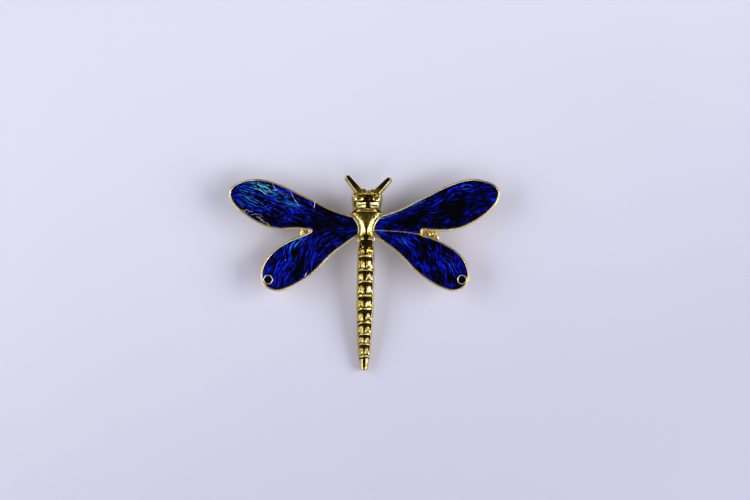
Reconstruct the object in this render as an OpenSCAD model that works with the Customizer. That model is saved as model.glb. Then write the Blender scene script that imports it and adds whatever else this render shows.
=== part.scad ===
// Dragonfly brooch: a gilt casting with enamelled wings and a bar pin behind it.
// Millimetres. It lies on its pin and its tail, face up: +Z out of the face, +Y to the head,
// +X to the right as it is looked at. The origin is the middle of its footprint, on the surface.

/* [Wings] */
// Reach of the left forewing, from the axis between the wings to its tip
left_fore_reach = 27.45; // [22:0.05:34]
// Reach of the right forewing
right_fore_reach = 26.85; // [22:0.05:34]
// Reach of the left hindwing
left_hind_reach = 21.05; // [17:0.05:26]
// Reach of the right hindwing
right_hind_reach = 20.7; // [17:0.05:26]
// Width of a forewing's outline, from its rear line to its front line
fore_width = 10.5; // [8.5:0.1:12.6]
// Width of a hindwing's outline, from its lowest point to its front line
hind_width = 11.6; // [9.6:0.1:14]
// Depth of the left notch between forewing and hindwing, as its end wall's distance from the axis
left_notch_reach = 11.1; // [9:0.1:13]
// The same of the right notch
right_notch_reach = 11.3; // [9:0.1:13.4]
// Thickness of a wing, from its flat back to the top of its rim
wing_thickness = 1.4; // [1.1:0.05:1.8]
// Width of the raised rim
rim_width = 0.4; // [0.3:0.02:0.5]
// Depth of the recess that holds the enamel
recess_depth = 0.6; // [0.4:0.02:0.8]
// How far the enamel stays under the top of the rim
enamel_drop = 0.08; // [0.02:0.01:0.15]
// Gap between the enamel's edge and the metal beside it
enamel_gap = 0.04; // [0.02:0.01:0.08]
// Width of the thin metal line that parts the right wings' enamel
line_width = 0.22; // [0.16:0.02:0.35]
// Outer radius of the small ring near a hindwing's tip
ring_radius = 1; // [0.8:0.02:1.2]
// Wall of that ring
ring_wall = 0.24; // [0.16:0.02:0.32]

/* [Body] */
// Length of the abdomen, from the knot behind the wings to the tail
abdomen_length = 25.4; // [21:0.1:31]
// Widest part of the abdomen
abdomen_width = 3.5; // [2.9:0.1:4.3]
// Thickness of the abdomen from its flat underside to its crest
abdomen_thickness = 2.9; // [2.4:0.1:3.5]
// Length of the thorax, from the knot to the neck
thorax_length = 6.4; // [5.4:0.1:7.7]
// Width across the shoulders, where the forewings start
shoulder_width = 6.2; // [5.2:0.1:7.4]
// Height of the thorax over the flat back
thorax_height = 3.4; // [2.8:0.1:4.1]
// Length of the head, from the neck to the brow
head_length = 3.4; // [2.8:0.1:4.1]
// Width across the eyes
head_width = 6.1; // [5.1:0.1:7.3]
// Height of the head over the flat back
head_height = 3.3; // [2.7:0.1:4]
// Radius of an eye's dome
eye_radius = 0.82; // [0.68:0.02:0.98]
// Lean of the body to the right of the wings' axis, in degrees
body_lean = 1; // [0:0.1:2]

/* [Antennae] */
// Length of the left antenna, from its root on the brow to the middle of its round tip
left_antenna_length = 3.6; // [3:0.1:4.3]
// The same of the right antenna
right_antenna_length = 3.25; // [2.7:0.05:3.9]
// Turn of the left antenna away from the body's axis, in degrees
left_antenna_splay = 42; // [35:1:50]
// The same of the right antenna
right_antenna_splay = 47; // [40:1:54]
// Distance of an antenna's root from the middle between the two
antenna_spread = 1.75; // [1.45:0.05:2.05]
// Width of an antenna at its tip
antenna_width = 1.25; // [1:0.05:1.5]
// Thickness of an antenna from its flat underside to its flat top
antenna_thickness = 1.1; // [0.9:0.05:1.3]

/* [Pin] */
// Height of the pin's fittings, which is the room under the wings
fitting_height = 3.6; // [3:0.1:4.4]
// Distance from the middle of the catch to the middle of the hinge
pin_spacing = 24.7; // [20.5:0.1:29.7]
// Radius of the pin's stem
stem_radius = 0.4; // [0.34:0.02:0.5]
// Outer radius of the hinge barrel and of the catch
barrel_radius = 1.5; // [1.25:0.05:1.75]
// Length of the hinge barrel
hinge_length = 2.4; // [2:0.1:2.9]
// Length of the catch
catch_length = 1.4; // [1.1:0.1:1.7]
// Wall of the catch, which the stem rests on
catch_wall = 0.45; // [0.35:0.05:0.55]
// Thickness of the two plates that are soldered to the wings' backs
plate_thickness = 0.6; // [0.5:0.05:0.75]
// Width of the plates across the pin
plate_width = 5; // [4.2:0.1:6]
// How far a plate stands out past its hinge or catch at each end
plate_margin = 0.55; // [0.3:0.05:0.8]

/* [Hidden] */
LEFT = -1;
RIGHT = 1;
GOLD = [0.86, 0.68, 0.30];
BLUE = [0.03, 0.08, 0.62];
NIGHT = [0.02, 0.03, 0.22];

// Heights over the surface that the brooch lies on. The body's belly stays just over the wings' back.
back_z = fitting_height;
belly_z = back_z + 0.1;
rim_z = back_z + wing_thickness;
floor_z = rim_z - recess_depth;
enamel_z = rim_z - enamel_drop;

// The roots of the antennae stand a little in front of the brow, and their middle a little right of it
antenna_root_rise = 0.2;
antenna_shift = 0.25;
left_rise = left_antenna_length * cos(left_antenna_splay);
right_rise = right_antenna_length * cos(right_antenna_splay);
front_rise = antenna_root_rise + max(left_rise, right_rise) + antenna_width / 2;

// Places along the body. The knot, where thorax and abdomen meet, puts the middle at 0.
knot_y = (abdomen_length - thorax_length - head_length - front_rise) / 2;
neck_y = knot_y + thorax_length;
brow_y = neck_y + head_length;

// The wings' axis puts the middle between the two tips at 0. The body stands on that axis at the waist.
axis_x = (left_fore_reach - right_fore_reach) / 2;
waist_y = knot_y + 0.34 * thorax_length;
body_shift = 0.1;
function body_x(y) = axis_x + body_shift + (y - waist_y) * tan(body_lean);

// The forewings' rear line and the hindwings' front line, as they lie beside the knot
fore_rear_y = knot_y + 2.15;
hind_front_y = knot_y + 1.45;
hind_low_y = hind_front_y - hind_width;

// The pin lies across, behind the waist
pin_y = knot_y + 2.6;
pin_middle_x = axis_x + 0.45;
catch_x = pin_middle_x - pin_spacing / 2;
hinge_x = pin_middle_x + pin_spacing / 2;
stem_seat = 0.06;
stem_z = catch_wall + stem_radius - stem_seat;

// The outline of a forewing, walked from the shoulder along the front edge round the tip. Each row:
// share of the reach, share of the width over the rear line.
FORE_FRONT_ROWS = [
    [0.00, 0.24],
    [0.125, 0.30],
    [0.26, 0.42],
    [0.38, 0.58],
    [0.49, 0.72],
    [0.60, 0.86],
    [0.70, 0.955],
    [0.79, 1.00],
    [0.865, 0.98],
    [0.925, 0.935],
    [0.972, 0.865],
    [1.00, 0.75],
    [0.993, 0.62],
    [0.962, 0.485]
];

// The rest of each forewing's outline, back along the rear edge, which differs a little
LEFT_FORE_REAR_ROWS = [
    [0.908, 0.345],
    [0.837, 0.212],
    [0.765, 0.112],
    [0.70, 0.05],
    [0.62, 0.015],
    [0.56, 0.025],
    [0.50, 0.028],
    [0.45, 0.018],
    [0.40, 0.008],
    [0.00, 0.02]
];
RIGHT_FORE_REAR_ROWS = [
    [0.908, 0.335],
    [0.837, 0.203],
    [0.765, 0.10],
    [0.70, 0.03],
    [0.62, -0.005],
    [0.56, -0.012],
    [0.50, -0.008],
    [0.45, 0.002],
    [0.40, 0.012],
    [0.00, 0.02]
];

// The outline of each hindwing, walked from the body along the front edge. Each row: share of the
// reach, share of the width over the lowest point. The left one rises on into its narrower notch.
LEFT_HIND_FRONT_ROWS = [
    [0.00, 1.05],
    [0.40, 1.05],
    [0.53, 1.035],
    [0.585, 0.992],
    [0.62, 0.97],
    [0.72, 0.897],
    [0.78, 0.835],
    [0.845, 0.757],
    [0.917, 0.638]
];
RIGHT_HIND_FRONT_ROWS = [
    [0.00, 1.00],
    [0.40, 1.00],
    [0.53, 0.982],
    [0.585, 0.964],
    [0.62, 0.948],
    [0.72, 0.87],
    [0.78, 0.812],
    [0.845, 0.745],
    [0.917, 0.635]
];

// The rest of a hindwing's outline, round the tip and back along the rear edge
HIND_REAR_ROWS = [
    [0.963, 0.52],
    [0.99, 0.40],
    [1.00, 0.295],
    [0.992, 0.185],
    [0.966, 0.10],
    [0.92, 0.035],
    [0.857, 0.00],
    [0.79, 0.015],
    [0.69, 0.085],
    [0.60, 0.18],
    [0.515, 0.29],
    [0.432, 0.43],
    [0.372, 0.55],
    [0.29, 0.69],
    [0.192, 0.82],
    [0.086, 0.95],
    [0.00, 0.97]
];

// The small ring's place on a hindwing: share of the reach, share of the width
RING_SHARE = [0.929, 0.20];

// The thin line on the right wings, from the body to the notch. Each row: share of the notch's
// reach, rise over the hindwings' front line in millimetres.
LINE_ROWS = [
    [0.10, 0.75],
    [0.30, 0.62],
    [0.48, 0.52],
    [0.65, 0.40],
    [0.83, 0.15],
    [1.03, -0.30]
];

// Sections of the thorax, from the knot to the neck. Each row: share of its length, share of the
// shoulders' half width, share of its height, half width of the trough on top as a share of the
// section's own, depth of the trough as a share of the height.
THORAX_ROWS = [
    [0.00, 0.47, 0.84, 0.35, 0.05],
    [0.13, 0.47, 0.86, 0.35, 0.06],
    [0.24, 0.44, 0.88, 0.30, 0.04],
    [0.34, 0.42, 0.91, 0.25, 0.04],
    [0.46, 0.49, 0.95, 0.30, 0.06],
    [0.57, 0.62, 0.98, 0.42, 0.09],
    [0.68, 0.76, 1.00, 0.50, 0.12],
    [0.80, 0.92, 0.99, 0.55, 0.13],
    [0.88, 0.98, 0.95, 0.55, 0.11],
    [0.95, 0.92, 0.89, 0.50, 0.07]
];

// Sections of the head, from the neck to the brow. Each row: share of its length, share of its
// half width, share of its height, trough's half width, trough's depth, as on the thorax.
HEAD_ROWS = [
    [0.00, 0.88, 0.84, 0.30, 0.03],
    [0.10, 0.92, 0.87, 0.25, 0.05],
    [0.28, 0.96, 0.87, 0.25, 0.04],
    [0.42, 0.99, 0.85, 0.25, 0.00],
    [0.56, 1.00, 0.84, 0.25, 0.00],
    [0.76, 1.00, 0.85, 0.25, 0.00],
    [0.86, 0.95, 0.92, 0.25, 0.00],
    [0.94, 0.84, 0.86, 0.25, 0.00],
    [1.00, 0.68, 0.66, 0.25, 0.00]
];

// The abdomen's segments, from the knot to the tail. Each row: share of the length where the
// segment's ridge ends it, share of the half width there, share of the thickness there.
SEGMENT_ROWS = [
    [0.112, 0.98, 1.00],
    [0.223, 1.00, 1.00],
    [0.321, 1.00, 1.00],
    [0.432, 1.00, 0.98],
    [0.530, 0.97, 0.96],
    [0.639, 0.92, 0.93],
    [0.730, 0.85, 0.89],
    [0.803, 0.76, 0.84],
    [0.900, 0.62, 0.76],
    [1.000, 0.48, 0.62]
];

// The swell of one segment between two ridges, and the round end of the last one. Each row:
// share of the segment's length, factor on the width, factor on the thickness.
SWELL_ROWS = [
    [0.08, 0.91, 0.88],
    [0.45, 0.94, 0.93],
    [0.78, 1.00, 0.99],
    [0.93, 1.03, 1.04]
];
TIP_ROWS = [
    [0.10, 0.90, 0.90],
    [0.55, 0.98, 0.98],
    [0.85, 0.82, 0.88],
    [0.97, 0.50, 0.70]
];

// Share of the abdomen's length at which its underside comes down to the surface
TOUCH_SHARE = 0.93;

// How round the sides of a body section are over and under its widest line
TOP_POWER = 0.9;
UNDER_POWER = 0.6;
WIDEST_SHARE = 0.35;
RING_POINTS = 20;
BEAD_FACETS = 12;
DOME_FACETS = 20;
CURVE_STEPS = 2;

// A smooth open line through points, each stretch in a few equal steps
function bend(a, b, c, d, t) =
    b + 0.5 * t * (c - a + t * (2 * a - 5 * b + 4 * c - d + t * (3 * (b - c) + d - a)));
function smooth_line(p, steps) = [
    for (i = [0 : len(p) - 2])
    for (k = [0 : steps - 1])
    bend(p[max(i - 1, 0)], p[i], p[i + 1], p[min(i + 2, len(p) - 1)], k / steps),
    p[len(p) - 1]
];

function side_value(side, left_value, right_value) = side == LEFT ? left_value : right_value;
function fore_rows(side) =
    concat(FORE_FRONT_ROWS, side_value(side, LEFT_FORE_REAR_ROWS, RIGHT_FORE_REAR_ROWS));
function hind_rows(side) =
    concat(side_value(side, LEFT_HIND_FRONT_ROWS, RIGHT_HIND_FRONT_ROWS), HIND_REAR_ROWS);
function wing_line(rows, side, reach, low_y, width) = [
    for (row = rows)
    [axis_x + side * row[0] * reach, low_y + row[1] * width]
];

// One section of the body: a closed ring of points across it at one place along it
function section_point(half, low, high, trough, depth, angle) =
    let (c = cos(angle), s = sin(angle), under = s < 0)
    let (power = under ? UNDER_POWER : TOP_POWER, widest = low + WIDEST_SHARE * (high - low))
    let (x = half * sign(c) * pow(abs(c), power))
    let (rise = (under ? widest - low : high - widest) * sign(s) * pow(abs(s), power))
    let (dip = under ? 0 : depth * max(0, 1 - pow(x / (trough * half), 2)))
    [x, widest + rise - dip];
function section_ring(y, half, low, high, trough, depth) = [
    for (i = [0 : RING_POINTS - 1])
    let (p = section_point(half, low, high, trough, depth, 360 * i / RING_POINTS))
    [body_x(y) + p[0], y, p[1]]
];

function thorax_rings() = [
    for (row = THORAX_ROWS)
    section_ring(
        knot_y + row[0] * thorax_length,
        row[1] * shoulder_width / 2,
        belly_z,
        back_z + row[2] * thorax_height,
        row[3],
        row[4] * thorax_height
    )
];
function head_rings() = [
    for (row = HEAD_ROWS)
    section_ring(
        neck_y + row[0] * head_length,
        row[1] * head_width / 2,
        belly_z,
        back_z + row[2] * head_height,
        row[3],
        row[4] * head_height
    )
];

// The abdomen's underside slopes from the belly down to the surface near the tail
function abdomen_low(share) = belly_z * (1 - min(1, share / TOUCH_SHARE));
function abdomen_ring(share, half, thick) = section_ring(
    knot_y - share * abdomen_length,
    half * abdomen_width / 2,
    abdomen_low(share),
    abdomen_low(share) + thick * abdomen_thickness,
    0.28,
    0.04 * abdomen_thickness
);
function segment_start(i) = i == 0 ? [0, 0.94, 0.98] : SEGMENT_ROWS[i - 1];
function segment_rings(i) =
    let (start = segment_start(i), end = SEGMENT_ROWS[i])
    let (rows = i == len(SEGMENT_ROWS) - 1 ? TIP_ROWS : SWELL_ROWS)
    [
        for (row = rows)
        let (now = start + row[0] * (end - start))
        abdomen_ring(now[0], now[1] * row[1], now[2] * row[2])
    ];
function abdomen_rings() = [
    for (i = [0 : len(SEGMENT_ROWS) - 1])
    for (ring = segment_rings(i))
    ring
];
function backwards(list) = [
    for (i = [len(list) - 1 : -1 : 0])
    list[i]
];

// A closed skin over rings that follow each other along the body
module skin_over(rings) {
    n = len(rings[0]);
    last = len(rings) - 1;
    sides = [
        for (k = [0 : last - 1])
        for (i = [0 : n - 1])
        [k * n + i, k * n + (i + 1) % n, (k + 1) * n + (i + 1) % n, (k + 1) * n + i]
    ];
    first_cap = [
        for (i = [n - 1 : -1 : 0])
        i
    ];
    last_cap = [
        for (i = [0 : n - 1])
        last * n + i
    ];
    points = [
        for (ring = rings)
        for (p = ring)
        p
    ];
    polyhedron(points, concat(sides, [first_cap, last_cap]), convexity = 6);
}

// The flat outline of the two wings on one side, joined as far as the notch
module side_plan(side) {
    fore_reach = side_value(side, left_fore_reach, right_fore_reach);
    hind_reach = side_value(side, left_hind_reach, right_hind_reach);
    notch = axis_x + side * side_value(side, left_notch_reach, right_notch_reach);
    fore = wing_line(fore_rows(side), side, fore_reach, fore_rear_y, fore_width);
    hind = wing_line(hind_rows(side), side, hind_reach, hind_low_y, hind_width);
    polygon(smooth_line(fore, CURVE_STEPS));
    polygon(smooth_line(hind, CURVE_STEPS));
    polygon([
        [axis_x, hind_front_y - 0.5],
        [notch, hind_front_y - 0.5],
        [notch, fore_rear_y + 0.6],
        [axis_x, fore_rear_y + 0.6]
    ]);
}

// The outline of all four wings, which are one plate
module wing_plan() {
    for (side = [LEFT, RIGHT])
    side_plan(side);
}

// The flat outline of the thorax, which the enamel stops short of
module thorax_plan() {
    margin = 0.1;
    outline = [
        for (row = THORAX_ROWS)
        [row[1] * shoulder_width / 2 + margin, knot_y + row[0] * thorax_length]
    ];
    mirrored = [
        for (p = backwards(outline))
        [-p[0], p[1]]
    ];
    polygon([
        for (p = concat(outline, mirrored))
        [body_x(p[1]) + p[0], p[1]]
    ]);
}

function ring_center(side) =
    let (reach = side_value(side, left_hind_reach, right_hind_reach))
    [axis_x + side * RING_SHARE[0] * reach, hind_low_y + RING_SHARE[1] * hind_width];
function line_points() = [
    for (row = LINE_ROWS)
    [axis_x + row[0] * right_notch_reach, hind_front_y + row[1]]
];

// The thin line between the right wings' fields, as a flat band of its width
module line_plan() {
    path = smooth_line(line_points(), CURVE_STEPS);
    upper = [
        for (p = path)
        p + [0, line_width / 2]
    ];
    lower = [
        for (p = backwards(path))
        p - [0, line_width / 2]
    ];
    polygon(concat(upper, lower));
}

// The flat shape of the recesses: all the wings inside their rim, clear of the body, rings and line
module recess_plan() {
    difference() {
        offset(delta = -rim_width) wing_plan();
        thorax_plan();
        for (side = [LEFT, RIGHT])
        translate(ring_center(side)) circle(ring_radius, $fn = 40);
        line_plan();
    }
}

// All that lies on one side of the wings' axis
module half_plan(side) {
    far = 2 * left_fore_reach;
    translate([axis_x + side * far / 2, 0]) square(far, center = true);
}

// The right wings' recess in front of the thin line, which runs on to the body and to the notch
module front_of_line() {
    far = 2 * right_fore_reach;
    path = concat([[0, hind_front_y + LINE_ROWS[0][1]]], smooth_line(line_points(), CURVE_STEPS));
    end = path[len(path) - 1];
    polygon(concat(path, [[far, end[1]], [far, brow_y + fore_width], [0, brow_y + fore_width]]));
}

// The wings' plate with its rim: a flat back, stepped in a little at its foot and at its top edge
module wing_plate() {
    foot = 0.2;
    crown = 0.12;
    lap = 0.01;
    translate([0, 0, back_z]) linear_extrude(foot + lap) offset(delta = -foot / 2) wing_plan();
    translate([0, 0, back_z + foot]) linear_extrude(wing_thickness - foot - crown) wing_plan();
    translate([0, 0, rim_z - crown - lap]) linear_extrude(crown + lap)
    offset(delta = -crown / 2) wing_plan();
}
module wing_tray() {
    difference() {
        wing_plate();
        translate([0, 0, floor_z]) linear_extrude(wing_thickness) recess_plan();
        for (side = [LEFT, RIGHT])
        translate([0, 0, floor_z]) ring_cell(side, ring_radius - ring_wall, wing_thickness);
    }
}
module ring_cell(side, radius, height) {
    translate(ring_center(side)) cylinder(h = height, r = radius, $fn = 40);
}

module bead(radius, facets = BEAD_FACETS) {
    sphere(radius, $fn = facets);
}

// A short rounded bar between two points
module round_bar(from, to, radius) {
    hull() {
        translate(from) bead(radius);
        translate(to) bead(radius);
    }
}

// The two ridges across the head behind the eyes, each split in the middle
module head_ridges() {
    ridge_radius = 0.32;
    gap = 0.45;
    for (share = [0.09, 0.29])
    for (side = [LEFT, RIGHT]) {
        y = neck_y + share * head_length;
        crest = back_z + 0.92 * head_height;
        inner = [body_x(y) + side * gap, y, crest - 0.1];
        outer = [body_x(y) + side * 0.66 * head_width / 2, y - 0.12, crest - 0.45];
        round_bar(inner, outer, ridge_radius);
    }
}

// Two domed eyes in the band behind the brow, and a small bump between them
module eyes() {
    y = neck_y + 0.62 * head_length;
    eye_z = back_z + 0.70 * head_height;
    for (side = [LEFT, RIGHT])
    translate([body_x(y) + side * 0.58 * head_width / 2, y, eye_z]) bead(eye_radius, DOME_FACETS);
    translate([body_x(y) + 0.1 * head_width / 2, y, eye_z + 0.25]) bead(0.4 * eye_radius);
}

// A flat bar with a round tip, its top edges bevelled, from the brow outwards
module antenna(side, length, splay) {
    bevel = 0.25;
    root = [body_x(brow_y) + antenna_shift + side * antenna_spread, brow_y + antenna_root_rise];
    sink = 0.9;
    top = antenna_thickness / 2;
    translate([root[0], root[1], back_z + 0.55 * head_height]) rotate([0, 0, -side * splay]) hull() {
        for (end = [[-sink, 1.15], [length, 1]])
        translate([0, end[0], 0]) {
            translate([0, 0, -top]) cylinder(h = 2 * top - bevel, r = end[1] * antenna_width / 2, $fn = 24);
            cylinder(h = top, r = end[1] * antenna_width / 2 - bevel / 2, $fn = 24);
        }
    }
}

// Two short prongs that reach back from the knot beside the first segment
module knot_prongs() {
    prong_radius = 0.3;
    for (side = [LEFT, RIGHT]) {
        front = [body_x(knot_y) + side * 1.35, knot_y + 0.7, back_z + 0.5 * thorax_height];
        rear = [body_x(knot_y) + side * 1.5, knot_y - 0.35, back_z + 0.48 * thorax_height];
        round_bar(front, rear, prong_radius);
    }
}

module gilt_casting() {
    color(GOLD) union() {
        wing_tray();
        skin_over(concat(backwards(abdomen_rings()), thorax_rings(), head_rings()));
        head_ridges();
        eyes();
        antenna(LEFT, left_antenna_length, left_antenna_splay);
        antenna(RIGHT, right_antenna_length, right_antenna_splay);
        knot_prongs();
    }
}

// Enamel fills a recess from its floor nearly to the rim's top
module enamel_fill() {
    translate([0, 0, floor_z]) linear_extrude(enamel_z - floor_z) offset(delta = -enamel_gap) children();
}
module left_wing_enamel() {
    color(BLUE) enamel_fill() intersection() {
        recess_plan();
        half_plan(LEFT);
    }
}
module right_forewing_enamel() {
    color(BLUE) enamel_fill() intersection() {
        recess_plan();
        half_plan(RIGHT);
        front_of_line();
    }
}
module right_hindwing_enamel() {
    color(BLUE) enamel_fill() difference() {
        intersection() {
            recess_plan();
            half_plan(RIGHT);
        }
        front_of_line();
    }
}
module ring_enamel(side) {
    color(NIGHT) translate([0, 0, floor_z])
    ring_cell(side, ring_radius - ring_wall - enamel_gap, enamel_z - floor_z);
}
module left_ring_enamel() {
    ring_enamel(LEFT);
}
module right_ring_enamel() {
    ring_enamel(RIGHT);
}

// A plate that is soldered under the wings. It is flat where they lie on it, and its top slopes off
// to its long edges and its ends.
module soldered_plate(length) {
    edge = 0.15;
    long_slope = 0.38 * plate_width;
    end_slope = 0.5;
    low = [length, plate_width, edge];
    high = [length - 2 * end_slope, plate_width - 2 * long_slope, plate_thickness];
    hull() {
        translate([0, 0, low[2] / 2]) cube(low, center = true);
        translate([0, 0, high[2] / 2]) cube(high, center = true);
    }
}

// A soldered plate with a neck down to the level of a barrel's axis
module fitting(length) {
    neck_width = 1.5 * barrel_radius;
    lap = 0.1;
    neck = [length, neck_width, back_z - plate_thickness - barrel_radius + lap];
    translate([0, 0, back_z - plate_thickness]) soldered_plate(length + 2 * plate_margin);
    translate([-length / 2, -neck_width / 2, barrel_radius]) cube(neck);
    rotate([0, 90, 0]) translate([-barrel_radius, 0, -length / 2])
    cylinder(h = length, r = barrel_radius, $fn = 64);
}

// The pin is one plain piece: the hinge, the stem and the catch that it lies in
module bar_pin() {
    point = 0.45;
    past_catch = 0.1;
    stem_end = catch_x - catch_length / 2 - past_catch;
    mouth = 1.5 * stem_radius;
    color(GOLD) translate([0, pin_y, 0]) union() {
        translate([hinge_x, 0, 0]) fitting(hinge_length);
        difference() {
            translate([catch_x, 0, 0]) fitting(catch_length);
            translate([catch_x - catch_length, 0, barrel_radius]) rotate([0, 90, 0])
            cylinder(h = 2 * catch_length, r = barrel_radius - catch_wall, $fn = 64);
            translate([catch_x - catch_length, 0, barrel_radius - mouth])
            cube([2 * catch_length, 2 * barrel_radius, 2 * mouth]);
        }
        translate([stem_end, 0, stem_z]) rotate([0, 90, 0])
        cylinder(h = hinge_x - stem_end, r = stem_radius, $fn = 64);
        translate([stem_end - point, 0, stem_z]) rotate([0, 90, 0])
        cylinder(h = point, r1 = 0.1 * stem_radius, r2 = stem_radius, $fn = 64);
    }
}

gilt_casting();
left_wing_enamel();
right_forewing_enamel();
right_hindwing_enamel();
left_ring_enamel();
right_ring_enamel();
bar_pin();
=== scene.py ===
# %% [markdown]
# A dragonfly brooch, cast in one piece and gilt, with blue enamel fired into its wings and a bar pin
# soldered across its back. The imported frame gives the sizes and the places. Each step below makes one
# of the brooch's own pieces as a surface worked out with numpy, and then its finish.

import math

import bmesh
import bpy
import numpy as np
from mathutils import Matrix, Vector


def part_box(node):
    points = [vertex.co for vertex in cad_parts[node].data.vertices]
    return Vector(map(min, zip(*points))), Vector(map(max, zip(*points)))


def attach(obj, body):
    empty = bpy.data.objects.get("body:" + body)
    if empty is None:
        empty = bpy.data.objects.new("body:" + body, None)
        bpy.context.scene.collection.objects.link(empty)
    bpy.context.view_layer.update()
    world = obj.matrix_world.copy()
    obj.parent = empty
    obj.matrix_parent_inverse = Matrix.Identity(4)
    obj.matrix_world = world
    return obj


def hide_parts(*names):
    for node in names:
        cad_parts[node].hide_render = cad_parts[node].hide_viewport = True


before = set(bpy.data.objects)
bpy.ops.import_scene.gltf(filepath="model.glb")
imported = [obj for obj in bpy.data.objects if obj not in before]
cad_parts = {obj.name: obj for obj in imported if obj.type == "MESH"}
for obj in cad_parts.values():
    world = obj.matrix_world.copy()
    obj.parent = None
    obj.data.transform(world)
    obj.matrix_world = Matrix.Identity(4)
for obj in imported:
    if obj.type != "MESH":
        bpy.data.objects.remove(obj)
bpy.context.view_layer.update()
print("nodes:", sorted(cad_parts))

# %% [markdown]
# A jeweller gives sizes in millimetres, so every shape here is worked out in millimetres. It becomes
# metres when its points enter a mesh. The heights are read from the frame's own nodes, so the new
# surfaces lie exactly where the cast metal and the enamel of the frame lie.

# %% Heights and places, in millimetres
MM = 0.001
LEFT, RIGHT = -1, 1


def corners(node):
    """Lowest and highest corner of a node of the frame, in millimetres."""
    low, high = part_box(node)
    return np.array(low) / MM, np.array(high) / MM


# The enamel's surface lies this far under the rim's crown
ENAMEL_DROP = 0.08
BACK_Z = corners("bar_pin")[1][2]
FLOOR_Z, ENAMEL_Z = corners("left_wing_enamel")[0][2], corners("left_wing_enamel")[1][2]
RIM_Z = ENAMEL_Z + ENAMEL_DROP

# The knot is where abdomen and thorax meet. The tail ends at a share of the abdomen's length from it.
ABDOMEN_LENGTH, TAIL_SHARE = 25.4, 0.997
KNOT_Y = corners("gilt_casting")[0][1] + TAIL_SHARE * ABDOMEN_LENGTH

# The wings' axis lies a little right of the frame's origin
AXIS_X = 0.3
RING_NODES = {LEFT: "left_ring_enamel", RIGHT: "right_ring_enamel"}


def ring_place(side):
    """Middle and radius of the spot of enamel that a side's small ring holds."""
    low, high = corners(RING_NODES[side])
    return (low + high)[:2] / 2, (high - low)[0] / 2


print(f"back {BACK_Z:.2f}, tray floor {FLOOR_Z:.2f}, enamel {ENAMEL_Z:.2f}, rim {RIM_Z:.2f}")
print(f"knot at y {KNOT_Y:.2f}, all in millimetres")

# %% [markdown]
# The photograph looks almost straight down, leaning about nine degrees towards the tail, through a long
# lens, so there is hardly any perspective. One pixel is 0.2 mm on the rim's level. The camera stands on
# that line of sight and aims at the point of the rim's plane that the middle of the picture shows.

# %% Camera
PIXEL = 0.2
PICTURE_WIDTH = 750
LEAN = math.radians(9)
AIM = np.array([2.12, KNOT_Y - 1.863, RIM_Z])
LENS, SENSOR = 200.0, 36.0


def put_object(name, data):
    """A new object in the scene that shows some data: a mesh, a light or a camera."""
    made = bpy.data.objects.new(name, data)
    bpy.context.scene.collection.objects.link(made)
    return made


camera = put_object("camera", bpy.data.cameras.new("camera"))
camera.data.lens, camera.data.sensor_width = LENS, SENSOR
distance = PICTURE_WIDTH * PIXEL * LENS / SENSOR
back = np.array([0, -math.sin(LEAN), math.cos(LEAN)])
camera.location = (AIM + distance * back) * MM
camera.rotation_euler = (LEAN, 0, 0)
camera.data.clip_start, camera.data.clip_end = 0.05, 10
bpy.context.scene.camera = camera
print(f"camera {distance:.0f} mm from the brooch")

# %% [markdown]
# Every finish is made of shader nodes. Math nodes are slow to lay out one by one, so a Wire holds one
# output socket, and a sum that is written with wires adds the Math nodes that it needs.

# %% Shader sums
class Wire:
    """An output socket that can be used in sums."""

    def __init__(self, socket):
        self.socket = socket

    def sum(self, operation, *values):
        """A Math node on this value and others."""
        node = self.socket.id_data.nodes.new("ShaderNodeMath")
        node.operation = operation
        for place, value in enumerate((self, *values)):
            join(value, node.inputs[place])
        return Wire(node.outputs[0])

    def __add__(self, other):
        return self.sum("ADD", other)

    def __sub__(self, other):
        return self.sum("SUBTRACT", other)

    def __rsub__(self, other):
        return self.sum("MULTIPLY_ADD", -1.0, other)

    def __mul__(self, other):
        return self.sum("MULTIPLY", other)

    __radd__, __rmul__ = __add__, __mul__

    def ramp(self, low, high):
        """0 under the low value, 1 over the high one, smooth between them."""
        node = self.socket.id_data.nodes.new("ShaderNodeMapRange")
        node.interpolation_type = "SMOOTHSTEP"
        for place, value in enumerate((self, low, high)):
            join(value, node.inputs[place])
        return Wire(node.outputs[0])


def join(value, socket):
    """Links a wire to a socket, or sets the socket to a plain value."""
    if isinstance(value, Wire):
        socket.id_data.links.new(value.socket, socket)
    else:
        socket.default_value = value


print("wires ready")

# %% [markdown]
# A Finish is a material being built. Its method "add" makes any node. The others are short names for
# what this brooch's metal and glass need again and again: a place in millimetres, a number that the mesh
# carries, noise, a blend of two colours, a bump, and the surface shader that comes last.

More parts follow.
